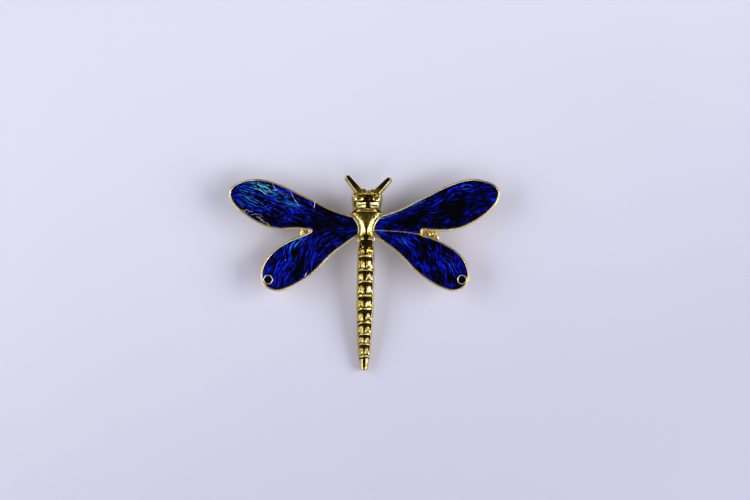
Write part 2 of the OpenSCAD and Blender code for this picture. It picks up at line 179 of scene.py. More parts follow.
# %% Finishes
class Finish:
    """A material that is being built from nodes."""

    def __init__(self, name):
        self.material = bpy.data.materials.new(name)
        self.material.use_nodes = True
        self.tree = self.material.node_tree
        self.tree.nodes.clear()

    def add(self, kind, settings=None, sockets=None, output=0):
        """One node: its settings are set first, then its sockets, by name or by number."""
        node = self.tree.nodes.new("ShaderNode" + kind)
        for name, value in (settings or {}).items():
            setattr(node, name, value)
        for name, value in (sockets or {}).items():
            join(value, node.inputs[name])
        return Wire(node.outputs[output])

    def place(self):
        """Object coordinates in millimetres."""
        metres = self.add("TexCoord", output="Object")
        return self.add("VectorMath", {"operation": "SCALE"}, {0: metres, "Scale": 1 / MM})

    def attribute(self, name, output="Fac"):
        """A number, or with output "Vector" three, that the mesh carries at each point."""
        return self.add("Attribute", {"attribute_name": name}, output=output)

    def noise(self, where, scale, detail=2.0, roughness=0.5, output=0):
        """Cloudy noise between about 0.25 and 0.75, with so many features to a millimetre."""
        sockets = {"Vector": where, "Scale": scale, "Detail": detail, "Roughness": roughness}
        return self.add("TexNoise", None, sockets, output)

    def split(self, vector):
        """The three parts of a vector or a colour."""
        first = self.add("SeparateXYZ", None, {0: vector})
        return [Wire(socket) for socket in first.socket.node.outputs]

    def vector(self, x, y, z):
        """Three numbers put together."""
        return self.add("CombineXYZ", None, {0: x, 1: y, 2: z})

    def blend(self, first, second, share):
        """The first colour where the share is 0, the second where it is 1."""
        return self.add("Mix", {"data_type": "RGBA"}, {0: share, 6: first, 7: second}, output=2)

    def bump(self, height, distance, strength=1.0):
        """A normal from a height, where a height of 1 stands so many millimetres proud."""
        sockets = {"Height": height, "Distance": distance * MM, "Strength": strength}
        return self.add("Bump", None, sockets)

    def surface(self, **values):
        """The surface shader and the output, with underscores for the spaces in socket names."""
        named = {name.replace("_", " "): value for name, value in values.items()}
        shader = self.add("BsdfPrincipled", None, named)
        output = self.tree.nodes.new("ShaderNodeOutputMaterial")
        join(shader, output.inputs["Surface"])
        return self.material


print("finishes ready")

# %% [markdown]
# The brooch lies on a plain pale sheet, a little lavender. Its colour carries painted shade: darker
# towards the near right, as the light falls off. Polished gold has no colour of its own: it shows what
# stands around it. In the photograph two soft lights stand left and right and the camera's side is dark,
# so what faces up is dark and what slopes is bright.

# %% Floor
FLOOR_HALF = 900
# Colours of the sheet's painted shade near to the right, and of its lit part far to the left
NEAR_SHADED_COLOUR, FAR_LIT_COLOUR = (0.62, 0.615, 0.77, 1), (0.845, 0.86, 1.0, 1)


def pale_sheet():
    """Pale lavender-grey, matt, faint satin; painted shade darkens it from far left to near right."""
    finish = Finish("pale_sheet")
    where = finish.place()
    x, y, _ = finish.split(where)
    cloud = finish.noise(where, 0.02, 2.0)
    # Painted shade: the sheet's colour darkens towards the near right, as the light falls off
    shade = (x * 0.47 - y + (cloud - 0.5) * 20).ramp(-85, 75)
    colour = finish.blend(FAR_LIT_COLOUR, NEAR_SHADED_COLOUR, shade)
    return finish.surface(Base_Color=colour, Roughness=0.42, Specular_IOR_Level=0.35)


def make_floor():
    """One big square of the sheet, centred under the brooch."""
    mesh = bpy.data.meshes.new("floor")
    edge = FLOOR_HALF * MM
    square = [(-edge, -edge, 0), (edge, -edge, 0), (edge, edge, 0), (-edge, edge, 0)]
    mesh.from_pydata(square, [], [(0, 1, 2, 3)])
    mesh.materials.append(pale_sheet())
    put_object("floor", mesh)


make_floor()
print("floor", 2 * FLOOR_HALF, "mm wide")

# %% [markdown]
# The two big soft lights stand low at the left and the right, so that the slopes of the gold mirror them
# and its level tops do not. A third, weaker one behind the tail lights what slopes that way. The room
# itself is pale near the horizon and dark overhead, where the camera stands.

# %% Lights
# Each row: name, place, size across and along, watts, colour. A light aims at the brooch.
LIGHTS = [
    ("left_light", (-500, 0, 340), (660, 400), 2.14, (0.97, 0.98, 1.0)),
    ("right_light", (500, -70, 330), (560, 340), 2.92, (0.99, 0.99, 1.0)),
    ("tail_light", (130, -400, 470), (350, 210), 0.71, (1.0, 0.99, 0.98)),
]
LOW_COLOUR, LOW_STRENGTH = (0.84, 0.82, 1.0, 1), 0.45
OVERHEAD_COLOUR, OVERHEAD_STRENGTH = (1.0, 0.80, 0.48, 1), 0.09


def make_light(name, place, size, watts, colour):
    """A rectangular light that is turned to face the brooch."""
    light = bpy.data.lights.new(name, "AREA")
    light.shape = "RECTANGLE"
    light.size, light.size_y = size[0] * MM, size[1] * MM
    light.energy, light.color = watts, colour
    lamp = put_object(name, light)
    lamp.location = [v * MM for v in place]
    lamp.rotation_mode = "QUATERNION"
    lamp.rotation_quaternion = (-lamp.location).to_track_quat("-Z", "Y")


def make_world():
    """A pale room with a warm dark ceiling, where the camera stands, and a little darker ahead: the
    strength falls as the direction rises, and as it turns ahead."""
    world = bpy.data.worlds.new("room")
    bpy.context.scene.world = world
    world.use_nodes = True
    nodes, links = world.node_tree.nodes, world.node_tree.links
    sky = nodes.new("ShaderNodeTexCoord")
    split = nodes.new("ShaderNodeSeparateXYZ")
    links.new(sky.outputs["Generated"], split.inputs[0])
    rise, ahead = Wire(split.outputs["Z"]), Wire(split.outputs["Y"])
    low = (1 - rise.ramp(0.40, 0.95)) * (1 - ahead.ramp(0.0, 0.9) * 0.4)
    tint = nodes.new("ShaderNodeMix")
    tint.data_type = "RGBA"
    for place, value in ((0, low.ramp(0.0, 0.4)), (6, OVERHEAD_COLOUR), (7, LOW_COLOUR)):
        join(value, tint.inputs[place])
    ground = nodes["Background"]
    join(Wire(tint.outputs[2]), ground.inputs["Color"])
    join(low * (LOW_STRENGTH - OVERHEAD_STRENGTH) + OVERHEAD_STRENGTH, ground.inputs["Strength"])


for row in LIGHTS:
    make_light(*row)
make_world()
bpy.context.scene.view_settings.view_transform = "Standard"
print(len(LIGHTS), "lights")

# %% [markdown]
# Every shape starts from a line, so a few tools for lines come first: a smooth curve through a short
# table of points, an even walk along a curve, softer corners, and the direction across it. They take
# whole arrays of points.

# %% Curves
def smooth_line(points, steps):
    """A curve through the points: each stretch is a cubic whose slope at either end is half the
    chord between the neighbours on both sides, cut into equal steps."""
    p = np.vstack([points[:1], points, points[-1:]])
    t = (np.arange(steps) / steps)[None, :, None]
    a, b, c, d = (p[i : len(p) - 3 + i, None] for i in range(4))
    stretch = b + 0.5 * t * (c - a + t * (2 * a - 5 * b + 4 * c - d + t * (3 * (b - c) + d - a)))
    return np.vstack([stretch.reshape(-1, p.shape[1]), points[-1:]])


def walk(path, shares):
    """Points of a path at shares of its length."""
    run = np.r_[0, np.cumsum(np.linalg.norm(np.diff(path, axis=0), axis=1))]
    return np.stack([np.interp(shares * run[-1], run, axis) for axis in path.T], axis=1)


def length_of(path):
    """The sum of the distances between neighbouring points."""
    return np.linalg.norm(np.diff(path, axis=0), axis=1).sum()


def bell_weights(reach):
    """Weights along a bell curve whose width is the reach, counted in points. They add up to 1."""
    weights = np.exp(-0.5 * (np.arange(-3 * reach, 3 * reach + 1) / reach) ** 2)
    return weights / weights.sum()


def soften(path, reach):
    """Rounds the corners: each point becomes the mean of its neighbours, weighted by a bell curve."""
    pad = 3 * reach
    wide = np.pad(path, ((pad, pad), (0, 0)), mode="edge")
    return np.stack([np.convolve(axis, bell_weights(reach), mode="valid") for axis in wide.T], axis=1)


def turn_left(path):
    """Unit vectors across a flat path, to the left of the way it goes."""
    way = np.gradient(path, axis=0)
    way = way / np.linalg.norm(way, axis=1, keepdims=True)
    return np.stack([-way[:, 1], way[:, 0]], axis=1)


print("curve tools ready")

# %% [markdown]
# A grid of points becomes a mesh by joining each point to its neighbours. One function makes every mesh
# of the brooch, so that all of them are closed, face outwards and stand at the origin, and it fastens
# them to the brooch's one body.

# %% Meshes
# Points closer than this are made one
MERGE_GAP = 0.0004

# The enamel is a little thinner than its tray is deep, so it never reaches through the floor
GLASS_THICK = ENAMEL_Z - FLOOR_Z - 0.12


def grid_faces(rows, columns, wrap_rows=False, wrap_columns=False):
    """Faces of four corners between neighbours on a grid of points, which may close on itself."""
    r = np.arange(rows if wrap_rows else rows - 1)[:, None]
    c = np.arange(columns if wrap_columns else columns - 1)[None, :]
    r2, c2 = (r + 1) % rows, (c + 1) % columns
    four = (r * columns + c, r2 * columns + c, r2 * columns + c2, r * columns + c2)
    return np.stack(np.broadcast_arrays(*four)).reshape(4, -1).T


def put_mesh(name, points, faces, material, attributes, flat_angle=None, sheet=False):
    """A mesh object at the origin from points in millimetres and lists of faces. Doubles are merged
    and faces turned outwards, or upwards on a sheet. Attributes are a number, or three, a point."""
    mesh = bpy.data.meshes.new(name)
    mesh.from_pydata((points * MM).tolist(), [], [list(map(int, f)) for f in faces])
    for key, values in attributes.items():
        kind, part = ("FLOAT", "value") if np.ndim(values) == 1 else ("FLOAT_VECTOR", "vector")
        layer = mesh.attributes.new(key, kind, "POINT")
        layer.data.foreach_set(part, np.asarray(values, np.float32).ravel())
    work = bmesh.new()
    work.from_mesh(mesh)
    bmesh.ops.remove_doubles(work, verts=work.verts, dist=MERGE_GAP * MM)
    bmesh.ops.recalc_face_normals(work, faces=work.faces)
    if sheet and sum(face.normal.z * face.calc_area() for face in work.faces) < 0:
        bmesh.ops.reverse_faces(work, faces=work.faces)
    work.to_mesh(mesh)
    work.free()
    mesh.shade_smooth()
    mesh.materials.append(material)
    made = put_object(name, mesh)
    if flat_angle:
        mesh.set_sharp_from_angle(angle=math.radians(flat_angle))
    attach(made, "root")
    print(f"{name}: {len(mesh.vertices)} points, {len(mesh.polygons)} faces")
    return made


def cast(name, points, faces, finish, recess=0.0, flat_angle=None):
    """A piece of the gilt casting, with a number for each point that darkens it by tarnish and painted shade.
    """
    numbers = {"recess": np.broadcast_to(recess, points.shape[:-1]).ravel()}
    piece = put_mesh(name, points.reshape(-1, 3), faces, finish, numbers, flat_angle)
    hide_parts("gilt_casting")
    return piece


def fill(name, points, faces, finish, numbers, node):
    """A filling of enamel: its upper surface, given its depth downwards by a Solidify."""
    sheet = put_mesh(name, points.reshape(-1, 3), faces, finish, numbers, sheet=True)
    depth = sheet.modifiers.new("depth", "SOLIDIFY")
    depth.thickness, depth.offset = GLASS_THICK * MM, -1
    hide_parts(node)


print("mesh tools ready")

# %% [markdown]
# Nothing that was filed and polished by hand is quite even. A few crossing waves make a surface waver.
# Their directions, lengths and starts are drawn from a seed, so each run gives the same surface.

# %% Uneven surfaces
# How many waves make an uneven surface
WAVE_COUNT = 7


def waves(x, y, scale, seed):
    """An uneven surface between about -1 and 1, whose waves are about as long as the scale."""
    dice = np.random.default_rng(seed)
    total = np.zeros(np.broadcast(x, y).shape)
    for _ in range(WAVE_COUNT):
        angle, phase, size = dice.uniform(0, 2 * np.pi), dice.uniform(0, 2 * np.pi), dice.uniform(0.6, 1.8)
        total = total + np.sin((x * np.cos(angle) + y * np.sin(angle)) * 2 * np.pi * size / scale + phase)
    return 2 * total / WAVE_COUNT


print(WAVE_COUNT, "waves in an uneven surface")

# %% [markdown]
# All four wings are one cast plate: a flat back, a raised rim all round, and a sunk floor that holds the
# enamel. The outline of a wing is a smooth line through a short table. Each row gives a share of the
# wing's reach and a share of its width, walked from the body along the front edge, round the tip and
# back along the rear edge. A wing is measured outwards from the axis, so one table does for both sides.

# %% The wings' tables
FORE_FRONT_ROWS = [
    (0.00, 0.24), (0.125, 0.30), (0.26, 0.42), (0.38, 0.58), (0.49, 0.72), (0.60, 0.86),
    (0.70, 0.955), (0.79, 1.00), (0.865, 0.98), (0.925, 0.935), (0.972, 0.865), (1.00, 0.75),
    (0.993, 0.62), (0.962, 0.485),
]
FORE_REAR_ROWS = {
    LEFT: [(0.908, 0.345), (0.837, 0.212), (0.765, 0.112), (0.70, 0.05), (0.62, 0.015), (0.56, 0.025),
           (0.50, 0.028), (0.45, 0.018), (0.40, 0.008), (0.00, 0.02)],
    RIGHT: [(0.908, 0.335), (0.837, 0.203), (0.765, 0.10), (0.70, 0.03), (0.62, -0.005), (0.56, -0.012),
            (0.50, -0.008), (0.45, 0.002), (0.40, 0.012), (0.00, 0.02)],
}
HIND_FRONT_ROWS = {
    LEFT: [(0.00, 1.05), (0.40, 1.05), (0.53, 1.035), (0.585, 0.992), (0.62, 0.97), (0.72, 0.897),
           (0.78, 0.835), (0.845, 0.757), (0.917, 0.638)],
    RIGHT: [(0.00, 1.00), (0.40, 1.00), (0.53, 0.982), (0.585, 0.964), (0.62, 0.948), (0.72, 0.87),
            (0.78, 0.812), (0.845, 0.745), (0.917, 0.635)],
}
HIND_REAR_ROWS = [
    (0.963, 0.52), (0.99, 0.40), (1.00, 0.295), (0.992, 0.185), (0.966, 0.10), (0.92, 0.035),
    (0.857, 0.00), (0.79, 0.015), (0.69, 0.085), (0.60, 0.18), (0.515, 0.29), (0.432, 0.43),
    (0.372, 0.55), (0.29, 0.69), (0.192, 0.82), (0.086, 0.95), (0.00, 0.97),
]
FORE_ROWS = {side: np.array(FORE_FRONT_ROWS + FORE_REAR_ROWS[side]) for side in (LEFT, RIGHT)}
HIND_ROWS = {side: np.array(HIND_FRONT_ROWS[side] + HIND_REAR_ROWS) for side in (LEFT, RIGHT)}

# The row of each table at which the front edge ends and the rear edge starts
FORE_TIP_ROW, HIND_TIP_ROW = 12, 14

# The line between the two wings of a side, from the body to the notch. Each row: share of the
# notch's reach, rise over the hindwings' front line in millimetres.
LINE_ROWS = {
    LEFT: np.array([(0.0, 0.75), (0.5, 0.66), (1.0, 0.6)]),
    RIGHT: np.array([(0.0, 0.78), (0.10, 0.75), (0.30, 0.62), (0.48, 0.52), (0.65, 0.40), (0.83, 0.15),
                     (1.0, -0.15)]),
}

# Reach of the forewing, of the hindwing and of the notch, and how far down the notch's end wall the
# line between the wings meets it
WINGS = {LEFT: (27.45, 21.05, 11.1, 0.5), RIGHT: (26.85, 20.7, 11.3, 0.92)}
FORE_WIDTH, HIND_WIDTH = 10.5, 11.6
FORE_REAR_Y, HIND_FRONT_Y = KNOT_Y + 2.15, KNOT_Y + 1.45
HIND_LOW_Y = HIND_FRONT_Y - HIND_WIDTH
print("forewing rows:", len(FORE_ROWS[LEFT]), "hindwing rows:", len(HIND_ROWS[LEFT]))

# %% [markdown]
# The outline is walked in four stretches with a fixed number of points each: out along the forewing's
# front edge, in along its rear edge to the notch, out along the hindwing's front edge and in along its
# rear edge. Fixed numbers let the flat fields between the edges use the very same points as the rim,
# so that floor, rim and back close without a gap.

# %% Outline of one side
FORE_POINTS, HIND_POINTS, LINE_POINTS = 300, 240, 95
FORE_TIP = FORE_POINTS - 1
NOTCH = FORE_TIP + FORE_POINTS - LINE_POINTS
HIND_TIP = NOTCH + HIND_POINTS - LINE_POINTS
ROOT_OUT = 0.5
EDGE_STEPS, LINE_STEPS = 16, 12


def outline(side):
    """The closed edge of one side's wings, without its stretch along the axis, in millimetres out
    from the axis and along it."""
    fore_reach, hind_reach, notch, wall_share = WINGS[side]
    fore = smooth_line(FORE_ROWS[side] * (fore_reach, FORE_WIDTH) + (0, FORE_REAR_Y), EDGE_STEPS)
    hind = smooth_line(HIND_ROWS[side] * (hind_reach, HIND_WIDTH) + (0, HIND_LOW_Y), EDGE_STEPS)
    tip, hind_tip = FORE_TIP_ROW * EDGE_STEPS, HIND_TIP_ROW * EDGE_STEPS
    fore_rear = fore[tip:][fore[tip:, 0] > notch]
    hind_front = hind[: hind_tip + 1][hind[: hind_tip + 1, 0] > notch]
    top = (notch, fore_rear[-1, 1])
    bottom = (notch, hind_front[0, 1])
    middle = (notch, top[1] + wall_share * (bottom[1] - top[1]))
    fore_front = fore[: tip + 1][fore[: tip + 1, 0] >= ROOT_OUT]
    hind_rear = hind[hind_tip:][hind[hind_tip:, 0] >= ROOT_OUT]
    stretches = [
        (fore_front, FORE_POINTS),
        (np.vstack([fore_rear, top, middle]), FORE_POINTS - LINE_POINTS + 1),
        (np.vstack([middle, bottom, hind_front]), HIND_POINTS - LINE_POINTS + 1),
        (hind_rear, HIND_POINTS),
    ]
    walked = [walk(path, np.linspace(0, 1, count)) for path, count in stretches]
    path = np.vstack([walked[0]] + [piece[1:] for piece in walked[1:]])
    return soften(path, 1)


def inward(path):
    """The outline is walked with the metal on its right hand."""
    return -turn_left(path)


def put_side(side, flat):
    """Points out from the axis and along it, placed on their side of the brooch."""
    return np.stack([AXIS_X + side * flat[..., 0], flat[..., 1]], axis=-1)


OUTLINES = {side: outline(side) for side in (LEFT, RIGHT)}
for side, path in OUTLINES.items():
    print("side", side, "outline", round(length_of(path), 1), "mm,", len(path), "points")

# %% [markdown]
# A field is the flat surface between a front edge and a rear edge. It is ruled: a point of it lies a
# share of the way along both edges, and a share of the way across from one to the other.

# %% Fields between two edges
def ruled(front, rear, columns):
    """P(t, s) = (1 - s) front(t) + s rear(t), as rows along t and columns along s."""
    s = np.linspace(0, 1, columns)[None, :, None]
    return (1 - s) * front[:, None] + s * rear[:, None]


def field_edges(side, inset, line_gap=0.0):
    """Front and rear edges of the forewing's and of the hindwing's field, drawn in from the outline
    and parted by a gap on each side of the line between them."""
    path = OUTLINES[side]
    path = path + inset * inward(path)
    rows = LINE_ROWS[side] * (path[NOTCH, 0], 1) + (0, HIND_FRONT_Y)
    line = smooth_line(rows, LINE_STEPS)
    start = np.array([ROOT_OUT, np.interp(ROOT_OUT, line[:, 0], line[:, 1])])
    line = walk(np.vstack([start, line[line[:, 0] > ROOT_OUT]]), np.linspace(0, 1, LINE_POINTS))
    line = line + np.linspace(0, 1, LINE_POINTS)[:, None] ** 6 * (path[NOTCH] - line[-1])
    over, under = line + (0, line_gap), line - (0, line_gap)
    fore_rear = np.vstack([over, path[FORE_TIP:NOTCH][::-1]])
    hind_front = np.vstack([under, path[NOTCH + 1 : HIND_TIP + 1]])
    return path[: FORE_TIP + 1], fore_rear, hind_front, path[HIND_TIP:][::-1]


def both_fields(side, inset, columns, line_gap=0.0):
    """The forewing's field and the hindwing's."""
    fore_front, fore_rear, hind_front, hind_rear = field_edges(side, inset, line_gap)
    return ruled(fore_front, fore_rear, columns), ruled(hind_front, hind_rear, columns)


def joined(parts):
    """Several grids or strips, each as points and faces, as one list of points and one of faces."""
    points, faces, start = [], [], 0
    for part_points, part_faces in parts:
        flat = part_points.reshape(-1, 3)
        points.append(flat)
        faces.extend([[start + corner for corner in face] for face in part_faces])
        start += len(flat)
    return np.vstack(points), faces


def raised(flat, height):
    """Flat points lifted to a height, which is one number or one for each point."""
    return np.concatenate([flat, np.broadcast_to(height, flat.shape[:-1])[..., None]], axis=-1)


def as_grid(points, **wraps):
    """A grid of points with its faces."""
    return points, grid_faces(points.shape[0], points.shape[1], **wraps)


print("field tools ready")

# %% [markdown]
# Cast gold-plated metal is bright where cloth and fingers rub it and dark where they never reach. By the
# piece's own "recess" number the clean gilt is stained brown first, and then nearly black.
# The same number also carries painted shade, at the places named where that number is worked out. Fine
# scratches, small pits and patches of duller metal keep the polish from looking new.

# %% Gilt finishes
# Brown stain and near-black patina, which also serve as painted shade where the number carries it
STAIN_AND_SHADE, PATINA_AND_SHADE = (0.56, 0.38, 0.042, 1), (0.022, 0.015, 0.0025, 1)
SCRATCH = 0.006


def gilt(name, colour, shade, polish, pits=0.02, dents=0.0):
    """Polished gilt: two golds in patches, stained brown and then dark where the recess number is
    high, by tarnish and by painted shade alike, with its least roughness and the depth of its pits and
    dents in millimetres."""
    finish = Finish(name)
    where = finish.place()
    recess = finish.attribute("recess")
    cloud = finish.noise(where, 0.9, 3.0)
    fine = finish.noise(where, 4.2, 4.0, 0.65)
    dull = (cloud * 0.6 + fine * 0.4).ramp(0.40, 0.60)
    # Tarnish and painted shade both come in through this number
    dirt_and_shade = (recess + (fine - 0.5) * 0.7).ramp(0.16, 0.66)
    metal = finish.blend(colour, shade, dull)
    stained_and_shaded = finish.blend(metal, STAIN_AND_SHADE, dirt_and_shade.ramp(0.0, 0.4))
    base = finish.blend(stained_and_shaded, PATINA_AND_SHADE, dirt_and_shade.ramp(0.36, 1.0))
    roughness = dull * 0.10 + dirt_and_shade * 0.26 + polish
    stretch = finish.add("Mapping", None, {0: where, "Scale": (9.0, 1.6, 5.0)})
    height = finish.noise(stretch, 2.0, 3.0) * SCRATCH + fine * pits * (dirt_and_shade * 0.8 + 0.25)
    if dents:
        height = height + finish.noise(where, 1.1, 1.0) * dents
    return finish.surface(
        Base_Color=base, Metallic=1.0, Roughness=roughness, Normal=finish.bump(height, 1.0)
    )


# Each row: the clean gold, the duller gold, then as gilt() takes them
body_gilt = gilt("body_gilt", (0.80, 0.735, 0.425, 1), (0.54, 0.40, 0.09, 1), 0.17)
rim_gilt = gilt("rim_gilt", (0.95, 0.84, 0.50, 1), (0.74, 0.60, 0.26, 1), 0.23, pits=0.012)
back_gilt = gilt("back_gilt", (0.80, 0.64, 0.27, 1), (0.62, 0.46, 0.16, 1), 0.27, pits=0.04)
worn_gilt = gilt("worn_gilt", (0.95, 0.90, 0.74, 1), (0.82, 0.72, 0.48, 1), 0.2)
pin_gilt = gilt("pin_gilt", (0.95, 0.82, 0.45, 1), (0.70, 0.54, 0.20, 1), 0.22, pits=0.03, dents=0.5)
print("gilt finishes ready")

# %% [markdown]
# The rim is a profile carried along the outline: from the back, round the foot, up the outer wall, over
# the crown and down the inner wall to the floor. Its width and height waver a little, as filed edges do.
# The floor and the back are fields that start where the profile ends, and a wall inside the body closes
# the plate.

# %% Rim and tray
RIM_WIDTH = 0.40
LEDGE = 0.55
FIELD_COLUMNS = 15

# Each row: distance in from the outline, height, and which level the height counts from
RIM_ROWS = [
    (LEDGE, 0.00, BACK_Z), (0.17, 0.00, BACK_Z), (0.06, 0.05, BACK_Z), (0.00, 0.18, BACK_Z),
    (0.00, 0.60, BACK_Z), (0.00, -0.24, RIM_Z), (0.02, -0.12, RIM_Z), (0.07, -0.04, RIM_Z),
    (0.15, 0.00, RIM_Z), (0.24, 0.00, RIM_Z), (0.32, -0.03, RIM_Z), (0.375, -0.08, RIM_Z),
    (RIM_WIDTH, -0.16, RIM_Z), (RIM_WIDTH, 0.00, FLOOR_Z), (LEDGE, 0.00, FLOOR_Z),
]


def rim_strip(side):
    """P(t, k) = outline(t) + in(k) inward(t), at height(k): the rim's profile along the outline."""
    path = OUTLINES[side]
    run = np.linspace(0, length_of(path), len(path))
    waver = waves(run, 0 * run, 9.0, 11 + side)
    rows = []
    for reach, height, level in RIM_ROWS:
        crown = level == RIM_Z
        flat = path + (reach * (1 + 0.05 * waver * crown))[:, None] * inward(path)
        rows.append(raised(put_side(side, flat), level + height + 0.012 * waver * crown))
    return np.stack(rows, axis=1)


def wing_plate(side):
    """The rim's strip, the flat fields of back and tray floor, and the walls that close it at the axis."""
    strip = rim_strip(side)
    fields = [put_side(side, field) for field in both_fields(side, LEDGE, FIELD_COLUMNS)]
    parts = [as_grid(strip)]
    for level in (BACK_Z, FLOOR_Z):
        parts.extend(as_grid(raised(field, level)) for field in fields)
    for field in fields:
        parts.append(as_grid(np.stack([raised(field[0], BACK_Z), raised(field[0], FLOOR_Z)])))
    for end in (strip[0], strip[-1]):
        parts.append((end, [list(range(len(end)))]))
    return joined(parts)


print(len(RIM_ROWS), "rows in the rim's profile")

# %% [markdown]
# A small round ring stands near each hindwing's tip. On the right a thin line of metal also parts the
# enamel of the two wings. Both rise from the tray's floor, so both are closed profiles: one is carried
# round a circle, the other along a line.

# %% Rings and parting line
# The rings: points round them, and how far their walls stand off the spot of enamel
RING_POINTS, RING_PLAY = 72, 0.04

# The walls leave a true circle a little: by how much, in how many waves round it, and where these start
RING_CORNERS = {LEFT: (0.05, 6, 0.4), RIGHT: (0.012, 3, 0.0)}

# Each row: distance out from the ring's inside, height
RING_ROWS = [(0.24, FLOOR_Z), (0.24, RIM_Z - 0.10), (0.20, RIM_Z - 0.02), (0.12, RIM_Z + 0.03),
             (0.04, RIM_Z - 0.02), (0.0, RIM_Z - 0.10), (0.0, FLOOR_Z)]

# The parting line: half its width, how far its top lies under the rim's, points along it
PARTING_HALF, PARTING_DROP, PARTING_POINTS = 0.075, 0.035, 120


def ring_wall(side):
    """A low round wall near the hindwing's tip: a profile carried round a circle. The left one is a
    little six-sided."""
    centre, radius = ring_place(side)
    turn = np.linspace(0, 2 * np.pi, RING_POINTS, endpoint=False)
    rays = np.stack([np.cos(turn), np.sin(turn)], axis=1)
    size, count, start = RING_CORNERS[side]
    inner = radius + RING_PLAY + size * np.cos(count * turn + start)
    ring = [raised(centre + (inner + wide)[:, None] * rays, height) for wide, height in RING_ROWS]
    return as_grid(np.stack(ring, axis=1), wrap_rows=True, wrap_columns=True)


def flat_band(path, half_width, low, high):
    """A low rounded band along a flat path, closed at both ends, that narrows at its ends."""
    share = np.linspace(0, 1, len(path))
    wide = half_width * np.clip(np.sin(np.pi * share) * 4, 0, 1)[:, None] ** 0.5
    across = turn_left(path)
    rows = [(-1.0, low), (-1.0, high - 0.06), (-0.6, high - 0.015), (0.0, high), (0.6, high - 0.015),
            (1.0, high - 0.06), (1.0, low)]
    band = [raised(path + reach * wide * across, height) for reach, height in rows]
    return as_grid(np.stack(band, axis=1), wrap_columns=True)


def parting_line():
    """The thin metal line between the right wings' enamel fields."""
    notch = WINGS[RIGHT][2]
    line = smooth_line(LINE_ROWS[RIGHT] * (notch, 1) + (0, HIND_FRONT_Y), LINE_STEPS)
    line = walk(line[line[:, 0] > ROOT_OUT], np.linspace(0, 1, PARTING_POINTS))
    return flat_band(put_side(RIGHT, line), PARTING_HALF, FLOOR_Z, RIM_Z - PARTING_DROP)


print(len(RING_ROWS), "rows in a ring's profile")

# %% [markdown]
# Near the body the enamel ends at a thin raised edge of metal, and from there the metal runs in under
# the body. The edge's line is one more smooth curve through a short table.

# %% Metal round the enamel's root
# Root end of the enamel on each side, from the front rim to the rear one: x, y from the knot
ROOT_ENDS = {
    LEFT: [(-3.10, 5.32), (-2.18, 4.52), (-1.46, 3.35), (-1.24, 2.55), (-1.22, 2.00), (-1.50, 1.26),
           (-2.1, 0.88)],
    RIGHT: [(4.34, 5.32), (3.02, 4.52), (2.16, 3.25), (1.92, 2.50), (2.00, 1.87), (2.6, 1.25), (3.1, 0.95)],
}

# Each row: distance in from the root end, height over the rim's level
SHOULDER_ROWS = [(-0.02, -0.50), (-0.02, -0.10), (0.02, -0.02), (0.10, 0.03), (0.19, 0.03), (0.27, -0.02),
                 (0.42, -0.03)]
SHOULDER_POINTS = 90

# The core is the edge that the body hides: how far out it lies, its stretch along the body, and how far
# its top stands over the rim's level and its foot under it
CORE_OUT, CORE_SPAN, CORE_RISE, CORE_SINK = 0.75, (1.3, 4.9), 0.85, 0.6


def shoulder(side):
    """The metal between the enamel's root end and the body: a thin raised edge carried along the root
    end, then a flat surface that runs in under the body."""
    path = smooth_line(np.array(ROOT_ENDS[side]) + (0, KNOT_Y), LINE_STEPS)
    path = walk(path, np.linspace(0, 1, SHOULDER_POINTS))
    inside = -side * turn_left(path)
    rows = [raised(path + reach * inside, RIM_Z + height) for reach, height in SHOULDER_ROWS]
    along = np.clip(path[:, 1] - KNOT_Y, *CORE_SPAN) + KNOT_Y
    core = np.stack([np.full(len(path), AXIS_X + side * CORE_OUT), along], axis=1)
    rows.append(raised(core, RIM_Z + CORE_RISE))
    rows.append(raised(core, RIM_Z - CORE_SINK))
    return as_grid(np.stack(rows, axis=1), wrap_columns=True)


print(len(SHOULDER_ROWS) + 2, "rows in the root end's profile")

# %% [markdown]
# Rim, tray, ring and root end of one side are one mesh, because they are one casting. Nobody polishes
# the back as well as the face, so its faces get a duller finish of their own.

# %% Both wing plates
def make_plate(side, name):
    """The plate with its ring and its root end, gilt in two tones: the back's faces are duller."""
    parts = [wing_plate(side), ring_wall(side), shoulder(side)]
    if side == RIGHT:
        parts.append(parting_line())
    plate = cast(name, *joined(parts), rim_gilt, flat_angle=35)
    plate.data.materials.append(back_gilt)
    for face in plate.data.polygons:
        if face.center.z < (BACK_Z + 0.05) * MM:
            face.material_index = 1


make_plate(LEFT, "left_wing_plate")
make_plate(RIGHT, "right_wing_plate")

# %% [markdown]
# The glass isn't equally clear all over: in some places it looks lighter or greener, in others nearly
# black. The brightest turquoise patch, near the left forewing's tip, is a painted reflection of a light
# in the glass. Each such place is an oval patch with soft edges.

